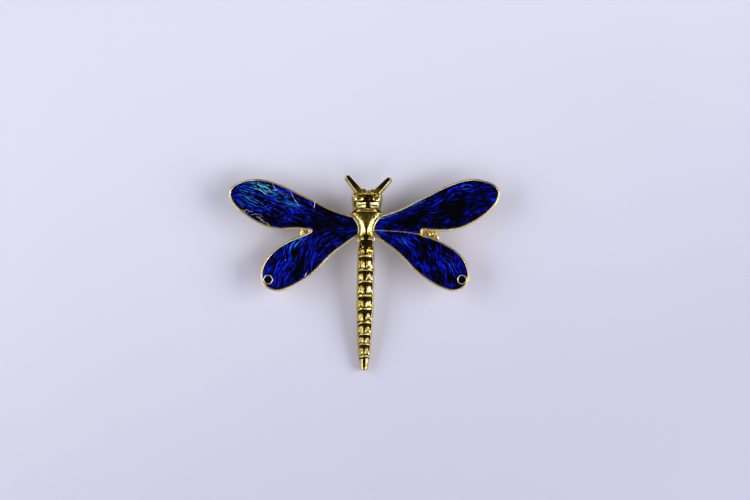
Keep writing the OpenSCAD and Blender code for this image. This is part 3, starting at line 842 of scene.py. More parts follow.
# %% Patches in the glass
# Each row: x, y from the knot, reach along, reach across, turn in degrees, how azure, how turquoise. The
# glass is darker where the number for azure is negative.
TINTS = [
    # A painted reflection: a light mirrored in the glass near the left forewing's tip
    (-20.4, 10.8, 2.6, 1.0, -22, 1.1, 1.1),
    (-23.4, 9.4, 3.0, 1.3, -42, 0.55, 0.15),
    (-20.8, 7.3, 5.0, 1.5, -18, 0.34, 0.0),
    (-15.0, 7.9, 3.4, 1.2, -28, 0.75, 0.1),
    (-24.3, 6.7, 1.6, 0.7, -60, 0.45, 0.15),
    (-13.4, -0.2, 2.4, 1.0, 25, 0.6, 0.05),
    (-14.8, -3.2, 1.8, 2.6, 0, 0.25, 0.0),
    (-1.35, 2.7, 0.22, 1.9, 8, 0.7, 1.0),
    (3.4, 4.9, 1.7, 0.5, 30, 0.9, 0.55),
    (8.6, 6.9, 5.2, 0.7, 25, 0.8, 0.25),
    (3.0, 2.1, 2.6, 0.9, -12, 0.55, 0.25),
    (20.6, 10.6, 2.4, 1.3, 8, 0.5, 0.05),
    (8.0, 0.0, 1.4, 0.8, -30, 0.5, 0.1),
    (17.0, -4.7, 1.2, 2.4, 20, 0.35, 0.0),
    (-7.5, 3.8, 4.8, 2.4, -8, -1.0, 0.0),
    (-19.5, 4.6, 4.5, 0.9, -20, -0.6, 0.0),
    (9.5, 4.2, 4.6, 1.3, 18, -0.9, 0.0),
    (18.5, 6.2, 6.0, 2.3, 30, -1.0, 0.0),
]


def tints_at(x, y):
    """How azure and how turquoise the glass is at a place: a sum of soft oval patches."""
    azure, turquoise = np.zeros_like(x), np.zeros_like(x)
    for cx, from_knot, along, across, turn, how_azure, how_turquoise in TINTS:
        cy = KNOT_Y + from_knot
        c, s = math.cos(math.radians(turn)), math.sin(math.radians(turn))
        a, b = (x - cx) * c + (y - cy) * s, (y - cy) * c - (x - cx) * s
        patch = np.exp(-((a / along) ** 2) - (b / across) ** 2)
        azure, turquoise = azure + how_azure * patch, turquoise + how_turquoise * patch
    return azure, turquoise


print(len(TINTS), "patches of lighter or darker glass")

# %% [markdown]
# The enamel is clear blue glass over a floor cut with fine lines, so bright streaks show through it
# from below and the rest is nearly black. The cuts are the metal's own, but their brightness is painted
# into the glass's colour as glints. Each point of a field carries how far out and how far across the
# wing it lies and how far it is from the metal. The finish lays its streaks along those numbers, so
# they fan out with the wing.

# %% Enamel fields
ENAMEL_COLUMNS = 34
ENAMEL_INSET, LINE_GAP = 0.335, 0.12

# The glass's surface: how far it domes over the level in the frame, how far it wavers, and how wide a
# strip beside the metal is calmer
ENAMEL_LIFT, ENAMEL_SWELL, EDGE_FALL = 0.03, 0.012, 0.5

# Round a ring's middle the glass dives under the ring: within which radius, how deep, over which width
RING_CLEARANCE, RING_DIVE, DIVE_WIDTH = 0.95, 0.4, 0.15

# The search for the nearest metal is done in so many parts, to save memory
SEARCH_CHUNKS = 40


def nearest(points, edge):
    """Distance from each flat point to the nearest point of an edge."""
    flat = points.reshape(-1, 2)
    chunks = np.array_split(flat, SEARCH_CHUNKS)
    gaps = [np.linalg.norm(chunk[:, None] - edge[None], axis=2).min(axis=1) for chunk in chunks]
    return np.concatenate(gaps).reshape(points.shape[:-1])


def enamel_field(side, field, shear, seed):
    """Points, faces and numbers of one field. Its surface domes a little and climbs down to the metal;
    inside a ring's wall it dives under the ring. "flow" holds the way out along the field, the way
    across it with a shear, and the distance to the metal."""
    middle = field.mean(axis=1)
    out = np.r_[0, np.cumsum(np.linalg.norm(np.diff(middle, axis=0), axis=1))][:, None]
    out = np.broadcast_to(out, field.shape[:2])
    chord = np.linalg.norm(field[:, -1] - field[:, 0], axis=1)[:, None]
    across = np.linspace(-0.5, 0.5, field.shape[1])[None] * (0.5 * chord + 0.5 * chord.mean())
    edge = nearest(field, OUTLINES[side] + RIM_WIDTH * inward(OUTLINES[side]))
    placed = put_side(side, field)
    x, y = placed[..., 0], placed[..., 1]
    swell = ENAMEL_SWELL * waves(x, y, 2.6, 17) * np.clip(edge / EDGE_FALL, 0, 1)
    from_ring = np.linalg.norm(placed - ring_place(side)[0], axis=-1)
    dive = RING_DIVE * np.clip((RING_CLEARANCE - from_ring) / DIVE_WIDTH, 0, 1)
    height = ENAMEL_Z + ENAMEL_LIFT + swell - dive
    azure, turquoise = tints_at(x, y)
    flow = np.stack([out, across + shear * out, edge], axis=-1)
    numbers = {
        "flow": flow.reshape(-1, 3),
        "azure": azure.ravel(),
        "turquoise": turquoise.ravel(),
        "seed": np.full(x.size, float(seed)),
    }
    return as_grid(raised(placed, height)), numbers


def make_enamel(name, side, fields, node, finish):
    """One piece of enamel over one field or two, each given as field, shear and seed."""
    built = [enamel_field(side, *field) for field in fields]
    points, faces = joined([grid for grid, _ in built])
    numbers = {key: np.concatenate([made[key] for _, made in built]) for key in built[0][1]}
    fill(name, points, faces, finish, numbers, node)


print(f"enamel {GLASS_THICK:.2f} mm thick")

# %% [markdown]
# Bright cuts shine through the glass: painted glints in its colour. They run along the wing, wander a
# little, and break into strokes: a broad set, a finer set and some dots. Where they fail, the glass looks
# nearly black, because it sees only its own depth. The clear top layer is a coat, which mirrors the
# lights softly.

# %% Enamel finishes
NIGHT = (0.0002, 0.0003, 0.0015, 1)
AZURE, TURQUOISE = (0.012, 0.23, 1.0, 1), (0.12, 0.66, 1.0, 1)

# Each row: name of the finish, the glass's deep colour, the streaks' colour, strength of the relief
GLASSES = [
    ("left_wing_glass", (0.0004, 0.0022, 0.038, 1), (0.004, 0.022, 1.0, 1), 0.6),
    ("right_wing_glass", (0.0003, 0.0006, 0.020, 1), (0.002, 0.013, 0.88, 1), 0.6),
    ("ring_glass", (0.0006, 0.0012, 0.03, 1), (0.001, 0.006, 0.16, 1), 0.4),
]


def glass(name, deep, bright, shine):
    """Blue streaks laid along the wing over a nearly black ground, under clear glass: painted glints of the
    cut metal. The flow is bent by slow noise first, so that the streaks wander."""
    finish = Finish(name)
    flow = finish.attribute("flow", "Vector")
    azure, turquoise = finish.attribute("azure"), finish.attribute("turquoise")
    seed = finish.attribute("seed")
    out, across, edge = finish.split(flow)
    plane = finish.vector(out, across, seed * 7.3)
    warp = finish.split(finish.noise(plane, 0.20, 1.0, output="Color"))
    ripple = finish.split(finish.noise(plane, 0.8, 2.0, output="Color"))
    out_w = out + warp[0] * 3.0 + ripple[0] * 0.3
    across_w = across + warp[1] * 2.6 + ripple[1] * 0.2
    light = azure * 0.12 + turquoise * 0.05

    def cuts(per_mm, along, shift, narrow, often):
        """Fine cuts along the wing: crests of a sine across it, bent by noise and broken into strokes."""
        bend = finish.noise(finish.vector(out_w * along, across_w * 0.5, seed + shift), 1.0, 1.0)
        crest = ((across_w * per_mm + bend * 2.2) * math.tau).sum("SINE")
        parts = finish.noise(finish.vector(out_w * 0.42, across_w * per_mm, seed + shift + 5), 1.0, 2.0, 0.6)
        return crest.ramp(narrow, 1.0) * (parts + light).ramp(often, often + 0.14)

    # Grain of the cuts, which also breaks their painted glints into sparkles
    grain_and_glints = finish.noise(finish.vector(out_w * 0.9, across_w * 4.4, seed + 9.0), 1.0, 1.0, 0.5)
    patches = finish.noise(finish.vector(out * 0.30, across * 0.42, seed + 2.0), 1.0, 2.0)
    bold = cuts(0.85, 0.15, 1.0, 0.75, 0.43)
    fine = cuts(1.8, 0.22, 3.0, 0.58, 0.46)
    dots = (grain_and_glints + light * 0.4 + (patches - 0.5) * 0.5).ramp(0.57, 0.66)
    streak = (bold * 1.4 + fine * 1.0 + dots * 0.35).sum("MINIMUM", 1.0) * grain_and_glints.ramp(0.38, 0.56)
    streak = streak * (patches + light * 1.5).ramp(0.24, 0.56)
    glow = (patches + light * 1.2 + bold * 0.10).ramp(0.54, 0.94)
    rim_shade = (edge + 0.06).ramp(0.02, 0.30)
    hue = finish.blend(bright, AZURE, (azure * 0.9 + (grain_and_glints - 0.5) * 1.2 * azure).ramp(0.12, 0.80))
    hue = finish.blend(hue, TURQUOISE, (turquoise * (grain_and_glints * 4.0 - 1.2)).ramp(0.20, 0.90))
    under = finish.blend(NIGHT, deep, glow)
    colour = finish.blend(under, hue, streak)
    colour = finish.blend(NIGHT, colour, rim_shade)
    relief = bold * 0.02 + fine * 0.012 + patches * 0.03
    return finish.surface(
        Base_Color=colour, Roughness=0.30, Metallic=0.0, Coat_Weight=1.0, Coat_Roughness=0.035,
        Coat_IOR=1.2, Specular_IOR_Level=0.05, Normal=finish.bump(relief, 1.0, shine)
    )


left_glass, right_glass, dark_glass = (glass(*row) for row in GLASSES)
print(len(GLASSES), "enamel finishes")

# %% [markdown]
# On the left both wings are one piece of enamel, because no metal parts them. On the right the thin line
# parts them in two. The streaks lean against the way out along the wing, a little on a forewing and
# strongly on a hindwing, so they are sheared.

# %% Enamel of the wings
FORE_SHEAR, HIND_SHEAR = 0.08, -0.45
fore, hind = both_fields(LEFT, ENAMEL_INSET, ENAMEL_COLUMNS)
both = [(fore, FORE_SHEAR, 3), (hind, HIND_SHEAR, 5)]
make_enamel("left_wing_glass", LEFT, both, "left_wing_enamel", left_glass)
fore, hind = both_fields(RIGHT, ENAMEL_INSET, ENAMEL_COLUMNS, LINE_GAP)
make_enamel("right_forewing_glass", RIGHT, [(fore, FORE_SHEAR, 8)], "right_forewing_enamel", right_glass)
make_enamel("right_hindwing_glass", RIGHT, [(hind, HIND_SHEAR, 12)], "right_hindwing_enamel", right_glass)

# %% [markdown]
# A ring near each hindwing's tip holds its own spot of darker enamel. It is a disc, so its two
# parameters are the way out from its middle and the turn round it.

# %% Enamel of the two rings
RING_SEED = 21.0
SPOT_LIFT, SPOT_FALL, SPOT_CIRCLES, SPOT_POINTS = 0.02, 0.07, 12, 48


def ring_spot(side, name):
    """P(r, a) in circles: a disc whose height falls as r^3, so that it stays inside the ring's wall."""
    centre, radius = ring_place(side)
    r = np.linspace(0, 1, SPOT_CIRCLES)[:, None]
    a = np.linspace(0, 2 * np.pi, SPOT_POINTS, endpoint=False)[None]
    flat = centre + radius * np.stack([r * np.cos(a), r * np.sin(a)], axis=-1)
    height = np.broadcast_to(ENAMEL_Z + SPOT_LIFT - SPOT_FALL * r**3, flat.shape[:2])
    flow = np.stack([flat[..., 0], flat[..., 1], (1 - r) * radius + 0 * a], axis=-1)
    blank = np.zeros(flow.shape[0] * flow.shape[1])
    numbers = {
        "flow": flow.reshape(-1, 3),
        "azure": blank,
        "turquoise": blank,
        "seed": blank + RING_SEED + side,
    }
    points, faces = as_grid(raised(flat, height), wrap_columns=True)
    fill(name, points, faces, dark_glass, numbers, RING_NODES[side])


ring_spot(LEFT, "left_ring_glass")
ring_spot(RIGHT, "right_ring_glass")

# %% [markdown]
# Wear shows on the left wings. Three fine lines of bare metal run in from the front rim of the
# forewing, the glass is chipped to pale metal near its rear rim, and the hindwing has a few pale flecks.
# Each is a slim round thread that lies half sunk in the glass.

# %% Bare metal in the enamel
# Each row: radius, how much of it stands out of the glass, then its flat points, x and y from the knot
THREADS = [
    (0.042, 0.5, [(-18.4, 11.62), (-18.05, 10.85), (-17.6, 10.17)]),
    (0.022, 0.4, [(-17.6, 10.17), (-16.5, 9.75), (-15.3, 9.48)]),
    (0.042, 0.5, [(-14.66, 9.85), (-14.3, 8.95), (-13.82, 8.18), (-13.0, 6.94)]),
    (0.052, 0.6, [(-9.9, 8.15), (-9.96, 7.3), (-10.12, 6.62)]),
    (0.060, 0.7, [(-24.5, 6.45), (-24.0, 6.0), (-23.6, 6.35), (-22.9, 5.95), (-22.4, 6.02)]),
    (0.040, 0.6, [(-24.15, 6.05), (-23.8, 5.65), (-23.3, 5.7)]),
    (0.045, 0.6, [(-22.9, 5.23), (-21.9, 5.43), (-20.9, 5.25), (-20.4, 4.84)]),
    (0.060, 0.7, [(-21.6, 5.05), (-20.9, 4.45), (-20.2, 3.87), (-19.5, 3.6), (-19.0, 3.12)]),
    (0.035, 0.6, [(-21.0, 4.85), (-20.5, 4.35), (-20.0, 4.2)]),
    (0.050, 0.6, [(-11.95, -7.2), (-11.75, -6.85), (-11.55, -6.5)]),
    (0.035, 0.6, [(-15.85, -3.75), (-15.7, -4.0)]),
]
THREAD_STATIONS, THREAD_POINTS = 40, 10


def thread(radius, stands, flat_points):
    """P(t, a): a circle carried along a smooth line, thin at both ends, with small wavers."""
    share = np.linspace(0, 1, THREAD_STATIONS)
    path = walk(smooth_line(np.array(flat_points) + (0, KNOT_Y), LINE_STEPS), share)
    waver = 1 + 0.25 * waves(path[:, 0], path[:, 1], 0.7, 5)
    wide = radius * np.clip(np.sin(np.pi * share) * 3, 0, 1) ** 0.5 * waver
    a = np.linspace(0, 2 * np.pi, THREAD_POINTS, endpoint=False)[None]
    flat = path[:, None] + (wide[:, None] * np.cos(a))[..., None] * turn_left(path)[:, None]
    height = ENAMEL_Z + ENAMEL_LIFT + wide[:, None] * (np.sin(a) + stands)
    return as_grid(raised(flat, height), wrap_columns=True)


cast("bare_metal_threads", *joined([thread(*row) for row in THREADS]), worn_gilt)

# %% [markdown]
# The body is one long skin. Rings follow each other from the tail to the brow, and a short table for
# each stretch gives half width and top height. Then the skin is chased as a jeweller would: hollows,
# ridges and domes are raised or sunk into the top of it by small sums that fade out towards the sides.

# %% The body's tables
THORAX_LENGTH, HEAD_LENGTH = 6.4, 3.4
SHOULDER_WIDTH, THORAX_HEIGHT = 6.2, 3.4
HEAD_WIDTH, HEAD_HEIGHT = 6.1, 3.3
ABDOMEN_WIDTH, ABDOMEN_THICKNESS = 3.5, 2.9
NECK_Y = KNOT_Y + THORAX_LENGTH
BELLY_Z = BACK_Z + 0.1
TOUCH_SHARE = 0.93
SECTION_STEPS = 10
BODY_LEAN, WAIST_SHIFT = math.radians(1), 0.1
WAIST_Y = KNOT_Y + 0.34 * THORAX_LENGTH

# Each row: share of the length, share of the half width, share of the height
THORAX_ROWS = np.array([
    (0.00, 0.47, 0.84), (0.13, 0.47, 0.83), (0.24, 0.44, 0.81), (0.34, 0.42, 0.79), (0.46, 0.49, 0.80),
    (0.57, 0.62, 0.82), (0.68, 0.76, 0.83), (0.80, 0.92, 0.81), (0.88, 0.98, 0.79), (0.95, 0.92, 0.78),
])
HEAD_ROWS = np.array([
    (0.00, 0.88, 0.84), (0.10, 0.92, 0.85), (0.28, 0.96, 0.855), (0.42, 0.99, 0.85), (0.56, 1.00, 0.84),
    (0.76, 1.00, 0.85), (0.86, 0.97, 0.92), (0.94, 0.90, 0.88), (1.00, 0.80, 0.72),
])

# The ends of the abdomen's segments. Each row: share of the length, of the half width, of the thickness
SEGMENT_ROWS = np.array([
    (0.000, 0.94, 0.98), (0.132, 0.98, 1.00), (0.241, 1.00, 1.00), (0.330, 1.00, 1.00), (0.441, 1.00, 0.98),
    (0.543, 0.97, 0.96), (0.649, 0.92, 0.93), (0.738, 0.85, 0.89), (0.814, 0.76, 0.84), (0.907, 0.62, 0.76),
    (0.997, 0.42, 0.62),
])


def axis_at(y):
    """The body leans one degree to the right of the wings' axis."""
    return AXIS_X + WAIST_SHIFT + (y - WAIST_Y) * math.tan(BODY_LEAN)


def section_sizes(y):
    """Half width, lowest and highest level of the body's section at each place along it."""
    share = SEGMENT_ROWS[1:, 0]
    low = BELLY_Z * (1 - np.minimum(1, share / TOUCH_SHARE))
    abdomen = np.stack([KNOT_Y - share * ABDOMEN_LENGTH, SEGMENT_ROWS[1:, 1] * ABDOMEN_WIDTH / 2,
                        low, low + SEGMENT_ROWS[1:, 2] * ABDOMEN_THICKNESS], axis=1)[::-1]
    chest = np.stack([KNOT_Y + THORAX_ROWS[:, 0] * THORAX_LENGTH, THORAX_ROWS[:, 1] * SHOULDER_WIDTH / 2,
                      BELLY_Z + 0 * THORAX_ROWS[:, 0], BACK_Z + THORAX_ROWS[:, 2] * THORAX_HEIGHT], axis=1)
    head = np.stack([NECK_Y + HEAD_ROWS[:, 0] * HEAD_LENGTH, HEAD_ROWS[:, 1] * HEAD_WIDTH / 2,
                     BELLY_Z + 0 * HEAD_ROWS[:, 0], BACK_Z + HEAD_ROWS[:, 2] * HEAD_HEIGHT], axis=1)
    line = smooth_line(np.vstack([abdomen, chest, head]), SECTION_STEPS)
    return [np.interp(y, line[:, 0], line[:, column]) for column in (1, 2, 3)]


print(len(SEGMENT_ROWS) - 1, "segments,", len(THORAX_ROWS) + len(HEAD_ROWS), "sections of thorax and head")

# %% [markdown]
# Chasing is drawn with three simple curves. A bell makes what is round, a step makes what starts or
# ends, and a step up times a step down makes a plateau.

# %% Bumps and steps
def bell(x, width):
    """A round bump: 1 at 0, about a third at the width, and nearly 0 at twice the width."""
    return np.exp(-((x / width) ** 2))


def step(x, low, high):
    """0 below low, 1 above high, smooth between."""
    t = np.clip((x - low) / (high - low), 0, 1)
    return t * t * (3 - 2 * t)


def plateau(x, low, high, high_end, low_end):
    """0 up to low, 1 from high to high_end, 0 again past low_end: a step up and then a step down."""
    return step(x, low, high) * (1 - step(x, high_end, low_end))


print("a step is", step(0.5, 0, 1), "in its middle, a bell", round(bell(1, 1), 2), "at its width")

# %% [markdown]
# The abdomen has ten segments. Each starts with a thin arched ridge and a dark hollow behind it. Then
# come two broad lobes that slope down towards the tail, parted by a dark groove, and a fine dark arc
# before the next ridge. No two segments are quite alike, so the lobes of each are shifted a little by
# a seeded draw. The last segment is plainer: two bars beside a deep pit.

# %% Chasing of the abdomen
def in_segment(x, y, half):
    """The segment's number, q, the way along it, w, the way across it, and the segment's own draws.
    Both ways waver, and q runs ahead in the middle, which arches the ridges."""
    share = (KNOT_Y - y) / ABDOMEN_LENGTH
    ends = SEGMENT_ROWS[:, 0]
    index = np.clip(np.searchsorted(ends, share, side="right") - 1, 0, len(ends) - 2)
    dice = np.random.default_rng(4)
    shift, tilt, size, skew = (dice.uniform(-1, 1, len(ends))[index] for _ in range(4))
    w = x / half + 0.05 * waves(x, y, 1.5, 61)
    q = (share - ends[index]) / (ends[index + 1] - ends[index])
    q = q + 0.08 * (1 - w**2) + 0.03 * tilt * w + 0.035 * waves(x, y, 1.7, 62)
    return index, q, w, shift, size, skew


def lobes_at(q, w):
    """1 on the right lobe and on the left one, which widen towards the tail."""
    right = plateau(w, 0.34 - 0.34 * q, 0.52 - 0.34 * q, 0.30 + 0.38 * q, 0.56 + 0.34 * q)
    left = plateau(-w, 0.20, 0.44, 0.50 + 0.14 * q, 0.76 + 0.12 * q)
    return right, left


def last_segment(q, w):
    """Height added to the last segment, and its tarnish: two bars, the pit between them, and a groove
    across behind the ridge."""
    bars = 0.14 * bell(np.abs(w) - 0.62, 0.24) * bell(q - 0.66, 0.34) * (1 - 0.8 * (q - 0.6))
    pit = 0.42 * bell(w, 0.26) * plateau(q, 0.12, 0.25, 0.86, 0.97)
    height = bars - pit - 0.20 * bell(q - 0.13, 0.06) + 0.05 * bell(q, 0.05)
    return height, 0.5 * bell(w, 0.3) * step(q, 0.1, 0.25) + 0.35 * bell(q - 0.13, 0.08)


def chase_abdomen(x, y, half):
    """Height added to the abdomen, and its tarnish and painted shade: ridge, hollow, lobes, groove and arc
    in each segment, as sums of steps and bells in q and w. What lies outside the lit lobes gets painted
    shade. The first segment is darker in most of its length."""
    index, q, w, shift, size, skew = in_segment(x, y, half)
    ridge = (bell(q - 1.0, 0.036) + bell(q, 0.036)) * (1 + 0.35 * waves(x, y, 0.55, 64))
    hollow = plateau(q, 0.04, 0.09, 0.14, 0.46)
    arc = bell(q - 0.90, 0.035)
    wide = 0.36 - 0.32 * q + 0.04 * size
    from_groove = np.abs(w + 0.05 + 0.04 * shift + 0.08 * skew * (q - 0.5))
    groove = (1 - step(from_groove, 0.3 * wide, wide + 0.05)) * plateau(q, 0.04, 0.10, 0.80, 0.90)
    rail = step(np.abs(w), 0.74, 0.84)
    inner = 1 - rail

    right_lobe, left_lobe = lobes_at(q, w)
    slope = (0.12 - 0.66 * (q - 0.42)) * plateau(q, 0.24, 0.50, 0.82, 0.89)
    lobes = slope * (right_lobe * (1.1 + 0.15 * size) + left_lobe * (0.85 - 0.15 * size))
    cut = bell(np.abs(w + 0.42) - 0.55 * (q - 0.42), 0.07) * plateau(q, 0.42, 0.48, 0.62, 0.72)
    side = plateau(w, 0.60, 0.68, 0.74, 0.82) * plateau(q, 0.06, 0.14, 0.50, 0.66)
    height = lobes + 0.06 * ridge - inner * (0.17 * hollow + 0.22 * groove + 0.05) - 0.10 * arc
    height = height - 0.12 * cut * left_lobe - 0.18 * side

    # Painted shade: what lies outside the lit part of the lobes is darkened, the left lobe a little more
    lit = step(q, 0.28, 0.64) * (right_lobe + 0.75 * left_lobe)
    # The hollow is darkened less on its left
    lighter_left = 1 - 0.55 * bell(w + 0.36, 0.20)
    mottle = 1 + 0.55 * waves(x, y, 0.42, 63)
    shade = (0.33 * hollow * lighter_left + 0.25 * (1 - lit)) * mottle + 0.31 * groove + 0.29 * arc
    shade = shade + 0.42 * (index == 0) * (1 - step(q, 0.55, 0.78)) * (1 + 0.9 * waves(x, y, 0.6, 65))
    segment_tarnish_and_shade = rail * (0.16 - 0.10 * np.sign(w)) + inner * shade * (1 - ridge)

    last = index == len(SEGMENT_ROWS) - 2
    last_height, last_soot = last_segment(q, w)
    return np.where(last, last_height, height), np.where(last, last_soot, segment_tarnish_and_shade) + 0.10


print("abdomen's chasing ready")

# %% [markdown]
# The knot joins abdomen and thorax. It is a rough hollow with crossing cuts between two pads. The thorax
# is what catches the eye: a sunk matt shield, wide at the neck and pointed at the waist, lies between two
# bright flanks, and a dark cleft runs on from its point to the knot. The shield's edge is a short table,
# as the outline of a wing is.

# %% Chasing of the knot and the thorax
# Each row: way along from the knot, half width of the shield there
SHIELD_ROWS = np.array([(1.6, 0.05), (2.1, 0.15), (2.9, 0.42), (3.9, 0.80), (4.7, 1.20), (5.75, 2.00)])

# Pits on the right shoulder. Each row: x, way along from the knot, width, depth
PITS = [(1.85, 5.30, 0.13, 0.16), (2.40, 5.12, 0.12, 0.16), (2.05, 4.60, 0.12, 0.10)]


def knot_marks(x, along):
    """Where the rough knot lies, and the two rows of cuts that cross on it."""
    middle = 1 - step(np.hypot(x / 0.84, along / 1.30), 0.60, 1.05)
    cuts = bell(np.sin((x + 1.1 * along) * 4.4), 0.45) + bell(np.sin((x - 1.1 * along + 0.1) * 4.4), 0.45)
    return middle, np.minimum(cuts, 1)


def chase_knot(x, along):
    """Height added to the knot: its hollow and cuts, and a pad on each side."""
    middle, cuts = knot_marks(x, along)
    right_pad = 0.30 * bell(x - 1.04, 0.30) * bell(along + 0.05, 0.42)
    left_pad = 0.14 * bell(x + 1.05, 0.24) * bell(along - 0.45, 0.30)
    return middle * (-0.08 - 0.16 * cuts) + right_pad + left_pad


def shield_half(along):
    """Half width of the thorax's sunk shield at each place along it."""
    return np.interp(along, *SHIELD_ROWS.T)


def rough_shoulder(x, along):
    """1 where the flanks are unpolished: beside the shield's upper part."""
    beside = step(np.abs(x) - shield_half(along), 0.0, 0.25)
    return beside * plateau(along, 3.9, 4.7, 5.9, 6.2)


def chase_thorax(x, along, half, high, base):
    """Height added to the thorax: the shield, the flanks that fall away from it as flat slopes, the
    cleft, a groove and a hollow collar at the neck, and pits and specks on the rough shoulders."""
    reach = np.abs(x)
    shield = shield_half(along)
    inside = 1 - step(reach, shield - 0.10, shield + 0.08)
    fall = 0.16 + 0.34 * (1 - step(along, 3.4, 4.7))
    flank = high - 0.12 - fall * np.maximum(0, reach - shield) - 0.26 * inside
    weight = plateau(along, 0.35, 0.95, 5.45, 5.7) * (1 - step(reach, 0.84 * half, 1.00 * half))
    cleft = 0.22 * bell(x + 0.02, 0.10) * plateau(along, 0.8, 1.1, 2.0, 2.6)
    groove = 0.20 * bell(along - 5.63, 0.07) * (1 - step(reach, 2.0, 2.3))
    collar = 0.16 * plateau(along, 5.70, 5.80, 6.0, 6.24) * (1 - step(reach, 1.5, 2.2))
    dish = 0.10 * bell(along - 5.98, 0.09) * (1 - step(reach, 1.7, 2.0))
    specks = 0.030 * waves(x, along, 0.42, 51) + 0.018 * waves(x, along, 0.26, 52)
    pits = sum(deep * bell(np.hypot(x - cx, along - cy), wide) for cx, cy, wide, deep in PITS)
    return (flank - base) * weight - cleft - groove + collar - dish + specks * rough_shoulder(x, along) - pits


print("knot's and thorax's chasing ready")

# %% [markdown]
# The head is seen from above. Two ridges lie across it, split in the middle by a dark gap. Ahead of them
# a sunk band holds an eye at each side and a small ring between them, and the brow beyond is rough.
# Ridges and eyes stand on a level floor, so that the light draws them evenly.

# %% Chasing of the head
# Each row: x, way along from the neck, half width across and along
EYES = [(-1.57, 1.98, 0.95, 0.64), (1.95, 1.98, 0.86, 0.62)]
EYE_DEPTH, EYE_RISE = 0.44, 0.34
BAND_X, BAND_Y, BAND_HALF, BAND_DEEP = 0.1, 1.98, 2.80, 0.76
RING_X, RING_RADIUS = 0.50, 0.20
HEAD_X, SPLIT_X = 0.2, 0.22


def from_eye(x, ahead, eye):
    """0 in the middle of an eye, 1 on its edge."""
    cx, cy, half_x, half_y = eye
    return np.hypot((x - cx) / half_x, (ahead - cy) / half_y)


def eye_band(x, ahead, sag=0.0):
    """1 in the band that holds the eyes, 0 outside it: a long oval with blunt ends."""
    oval = (np.abs(x - BAND_X) / BAND_HALF) ** 4 + ((ahead - BAND_Y) / (BAND_DEEP - sag)) ** 2
    return 1 - step(oval, 0.84, 1.12)


def roof(ahead, crest, wide):
    """A ridge across the head whose long side falls gently towards the tail."""
    back = crest - ahead
    return (0.24 - 0.45 * np.clip(back, 0, wide)) * plateau(back, -0.10, 0.0, wide, wide + 0.10)


def chase_head(x, ahead, high, base):
    """Height added to the head: its level floor, the two split ridges, the eye band with a dome 1 - r^3
    for each eye and the ring between them, and the rough brow. "ahead" counts from the neck."""
    inner = 1 - step(np.abs(x - HEAD_X), 2.0, 2.55)
    across = (1 - step(np.abs(x - HEAD_X), 1.85, 2.2)) * step(np.abs(x - SPLIT_X), 0.34, 0.50)
    ridges = (roof(ahead, 1.24, 0.40) + 1.15 * roof(ahead, 0.66 - 0.10 * x**2, 0.56)) * across
    sag = 0.12 * (1 - np.clip(np.abs(x) / 1.6, 0, 1) ** 2) * (ahead > 2)
    band = eye_band(x, ahead, sag)
    domes = sum(EYE_RISE * (1 - np.clip(from_eye(x, ahead, eye), 0, 1) ** 3) for eye in EYES)
    away = np.hypot(x - RING_X, ahead - BAND_Y)
    ring = 0.16 * bell(away - RING_RADIUS, 0.07) + 0.05 * bell(away, 0.08)
    rough = step(ahead, 2.55, 2.70) * (0.12 * waves(x, ahead, 0.62, 31) + 0.08 * waves(x, ahead, 0.34, 32))
    level = (high - base - 0.06 - 0.08 * x) * np.maximum(band, inner * (1 - step(ahead, 1.2, 1.4)))
    return level * step(ahead, -0.1, 0.2) + ridges - EYE_DEPTH * band + domes + ring + rough


print(len(EYES), "eyes and two ridges ready")

# %% [markdown]
# Polishing reaches what stands proud and leaves what lies deep. The depth of the chasing gives most of
# the dark metal by itself. A few places are dark for another reason, and they are named one by one here:
# the eye band's dark is painted shade, for the dark that its level floor mirrors.

# %% Tarnish and painted shade
def head_tarnish_and_shade(x, ahead):
    """Darker metal on the head and neck: the gap that splits the ridges, the lines between them and behind
    them and the brow, with painted shade over the eye band."""
    gap = 0.50 * (1 - step(np.abs(x - SPLIT_X), 0.36, 0.56)) * plateau(ahead, -0.1, 0.1, 1.3, 1.4)
    lines = bell(ahead - 0.68 + 0.05 * x**2, 0.08) + bell(ahead - 0.02 + 0.06 * x**2, 0.07)
    lines = 0.55 * lines * (1 - step(np.abs(x - HEAD_X), 2.0, 2.3))
    neck = 0.08 * plateau(ahead, -0.7, -0.4, 1.3, 1.4)
    brow = (0.37 + 0.05 * waves(x, ahead, 0.30, 33)) * step(ahead, 2.62, 2.80)
    # The eye band's part is painted shade, for the dark that its level floor mirrors
    return gap + lines + neck + 0.50 * eye_band(x, ahead) + brow


def thorax_tarnish(x, along):
    """Dark metal on the knot, in the cleft, on the matt shield and on the rough shoulders."""
    middle, cuts = knot_marks(x, along)
    knot = middle * (0.08 + 0.55 * cuts)
    wide = 0.13 + 0.30 * (1 - step(along, 0.5, 1.5))
    cleft = 0.65 * bell(x + 0.02, wide) * plateau(along, -0.2, 0.1, 2.3, 3.0)
    shield = shield_half(along)
    matt = (1 - step(np.abs(x), shield - 0.10, shield + 0.05)) * plateau(along, 1.8, 2.6, 5.3, 5.5)
    matt = matt * (0.23 + 0.20 * waves(x, along, 0.36, 53))
    shoulder = (0.24 + 0.16 * waves(x, along, 0.40, 54)) * rough_shoulder(x, along)
    return knot + cleft + matt + shoulder


def polished(x, ahead):
    """1 on the domes of the eyes and on the ring between them, 0 elsewhere."""
    domes = sum(1 - step(from_eye(x, ahead, eye), 0.90, 1.0) for eye in EYES)
    return domes + bell(np.hypot(x - RING_X, ahead - BAND_Y) - RING_RADIUS, 0.08)


print("two functions of dark metal, and one that polishes it away")

# %% [markdown]
# The chasing of all the stretches is added up here, and fades out towards the sides. The number of
# tarnish and painted shade of a point then says how far it lies under its surroundings, or how deep it
# is sunk, with the dark places added, tarnish and painted shade alike, and the polished ones taken away.

# %% Chasing and recess of the whole body
# The surroundings reach so many points, and a hollow this deep counts as fully dark
RECESS_BLUR, RECESS_DEPTH = 7, 0.16


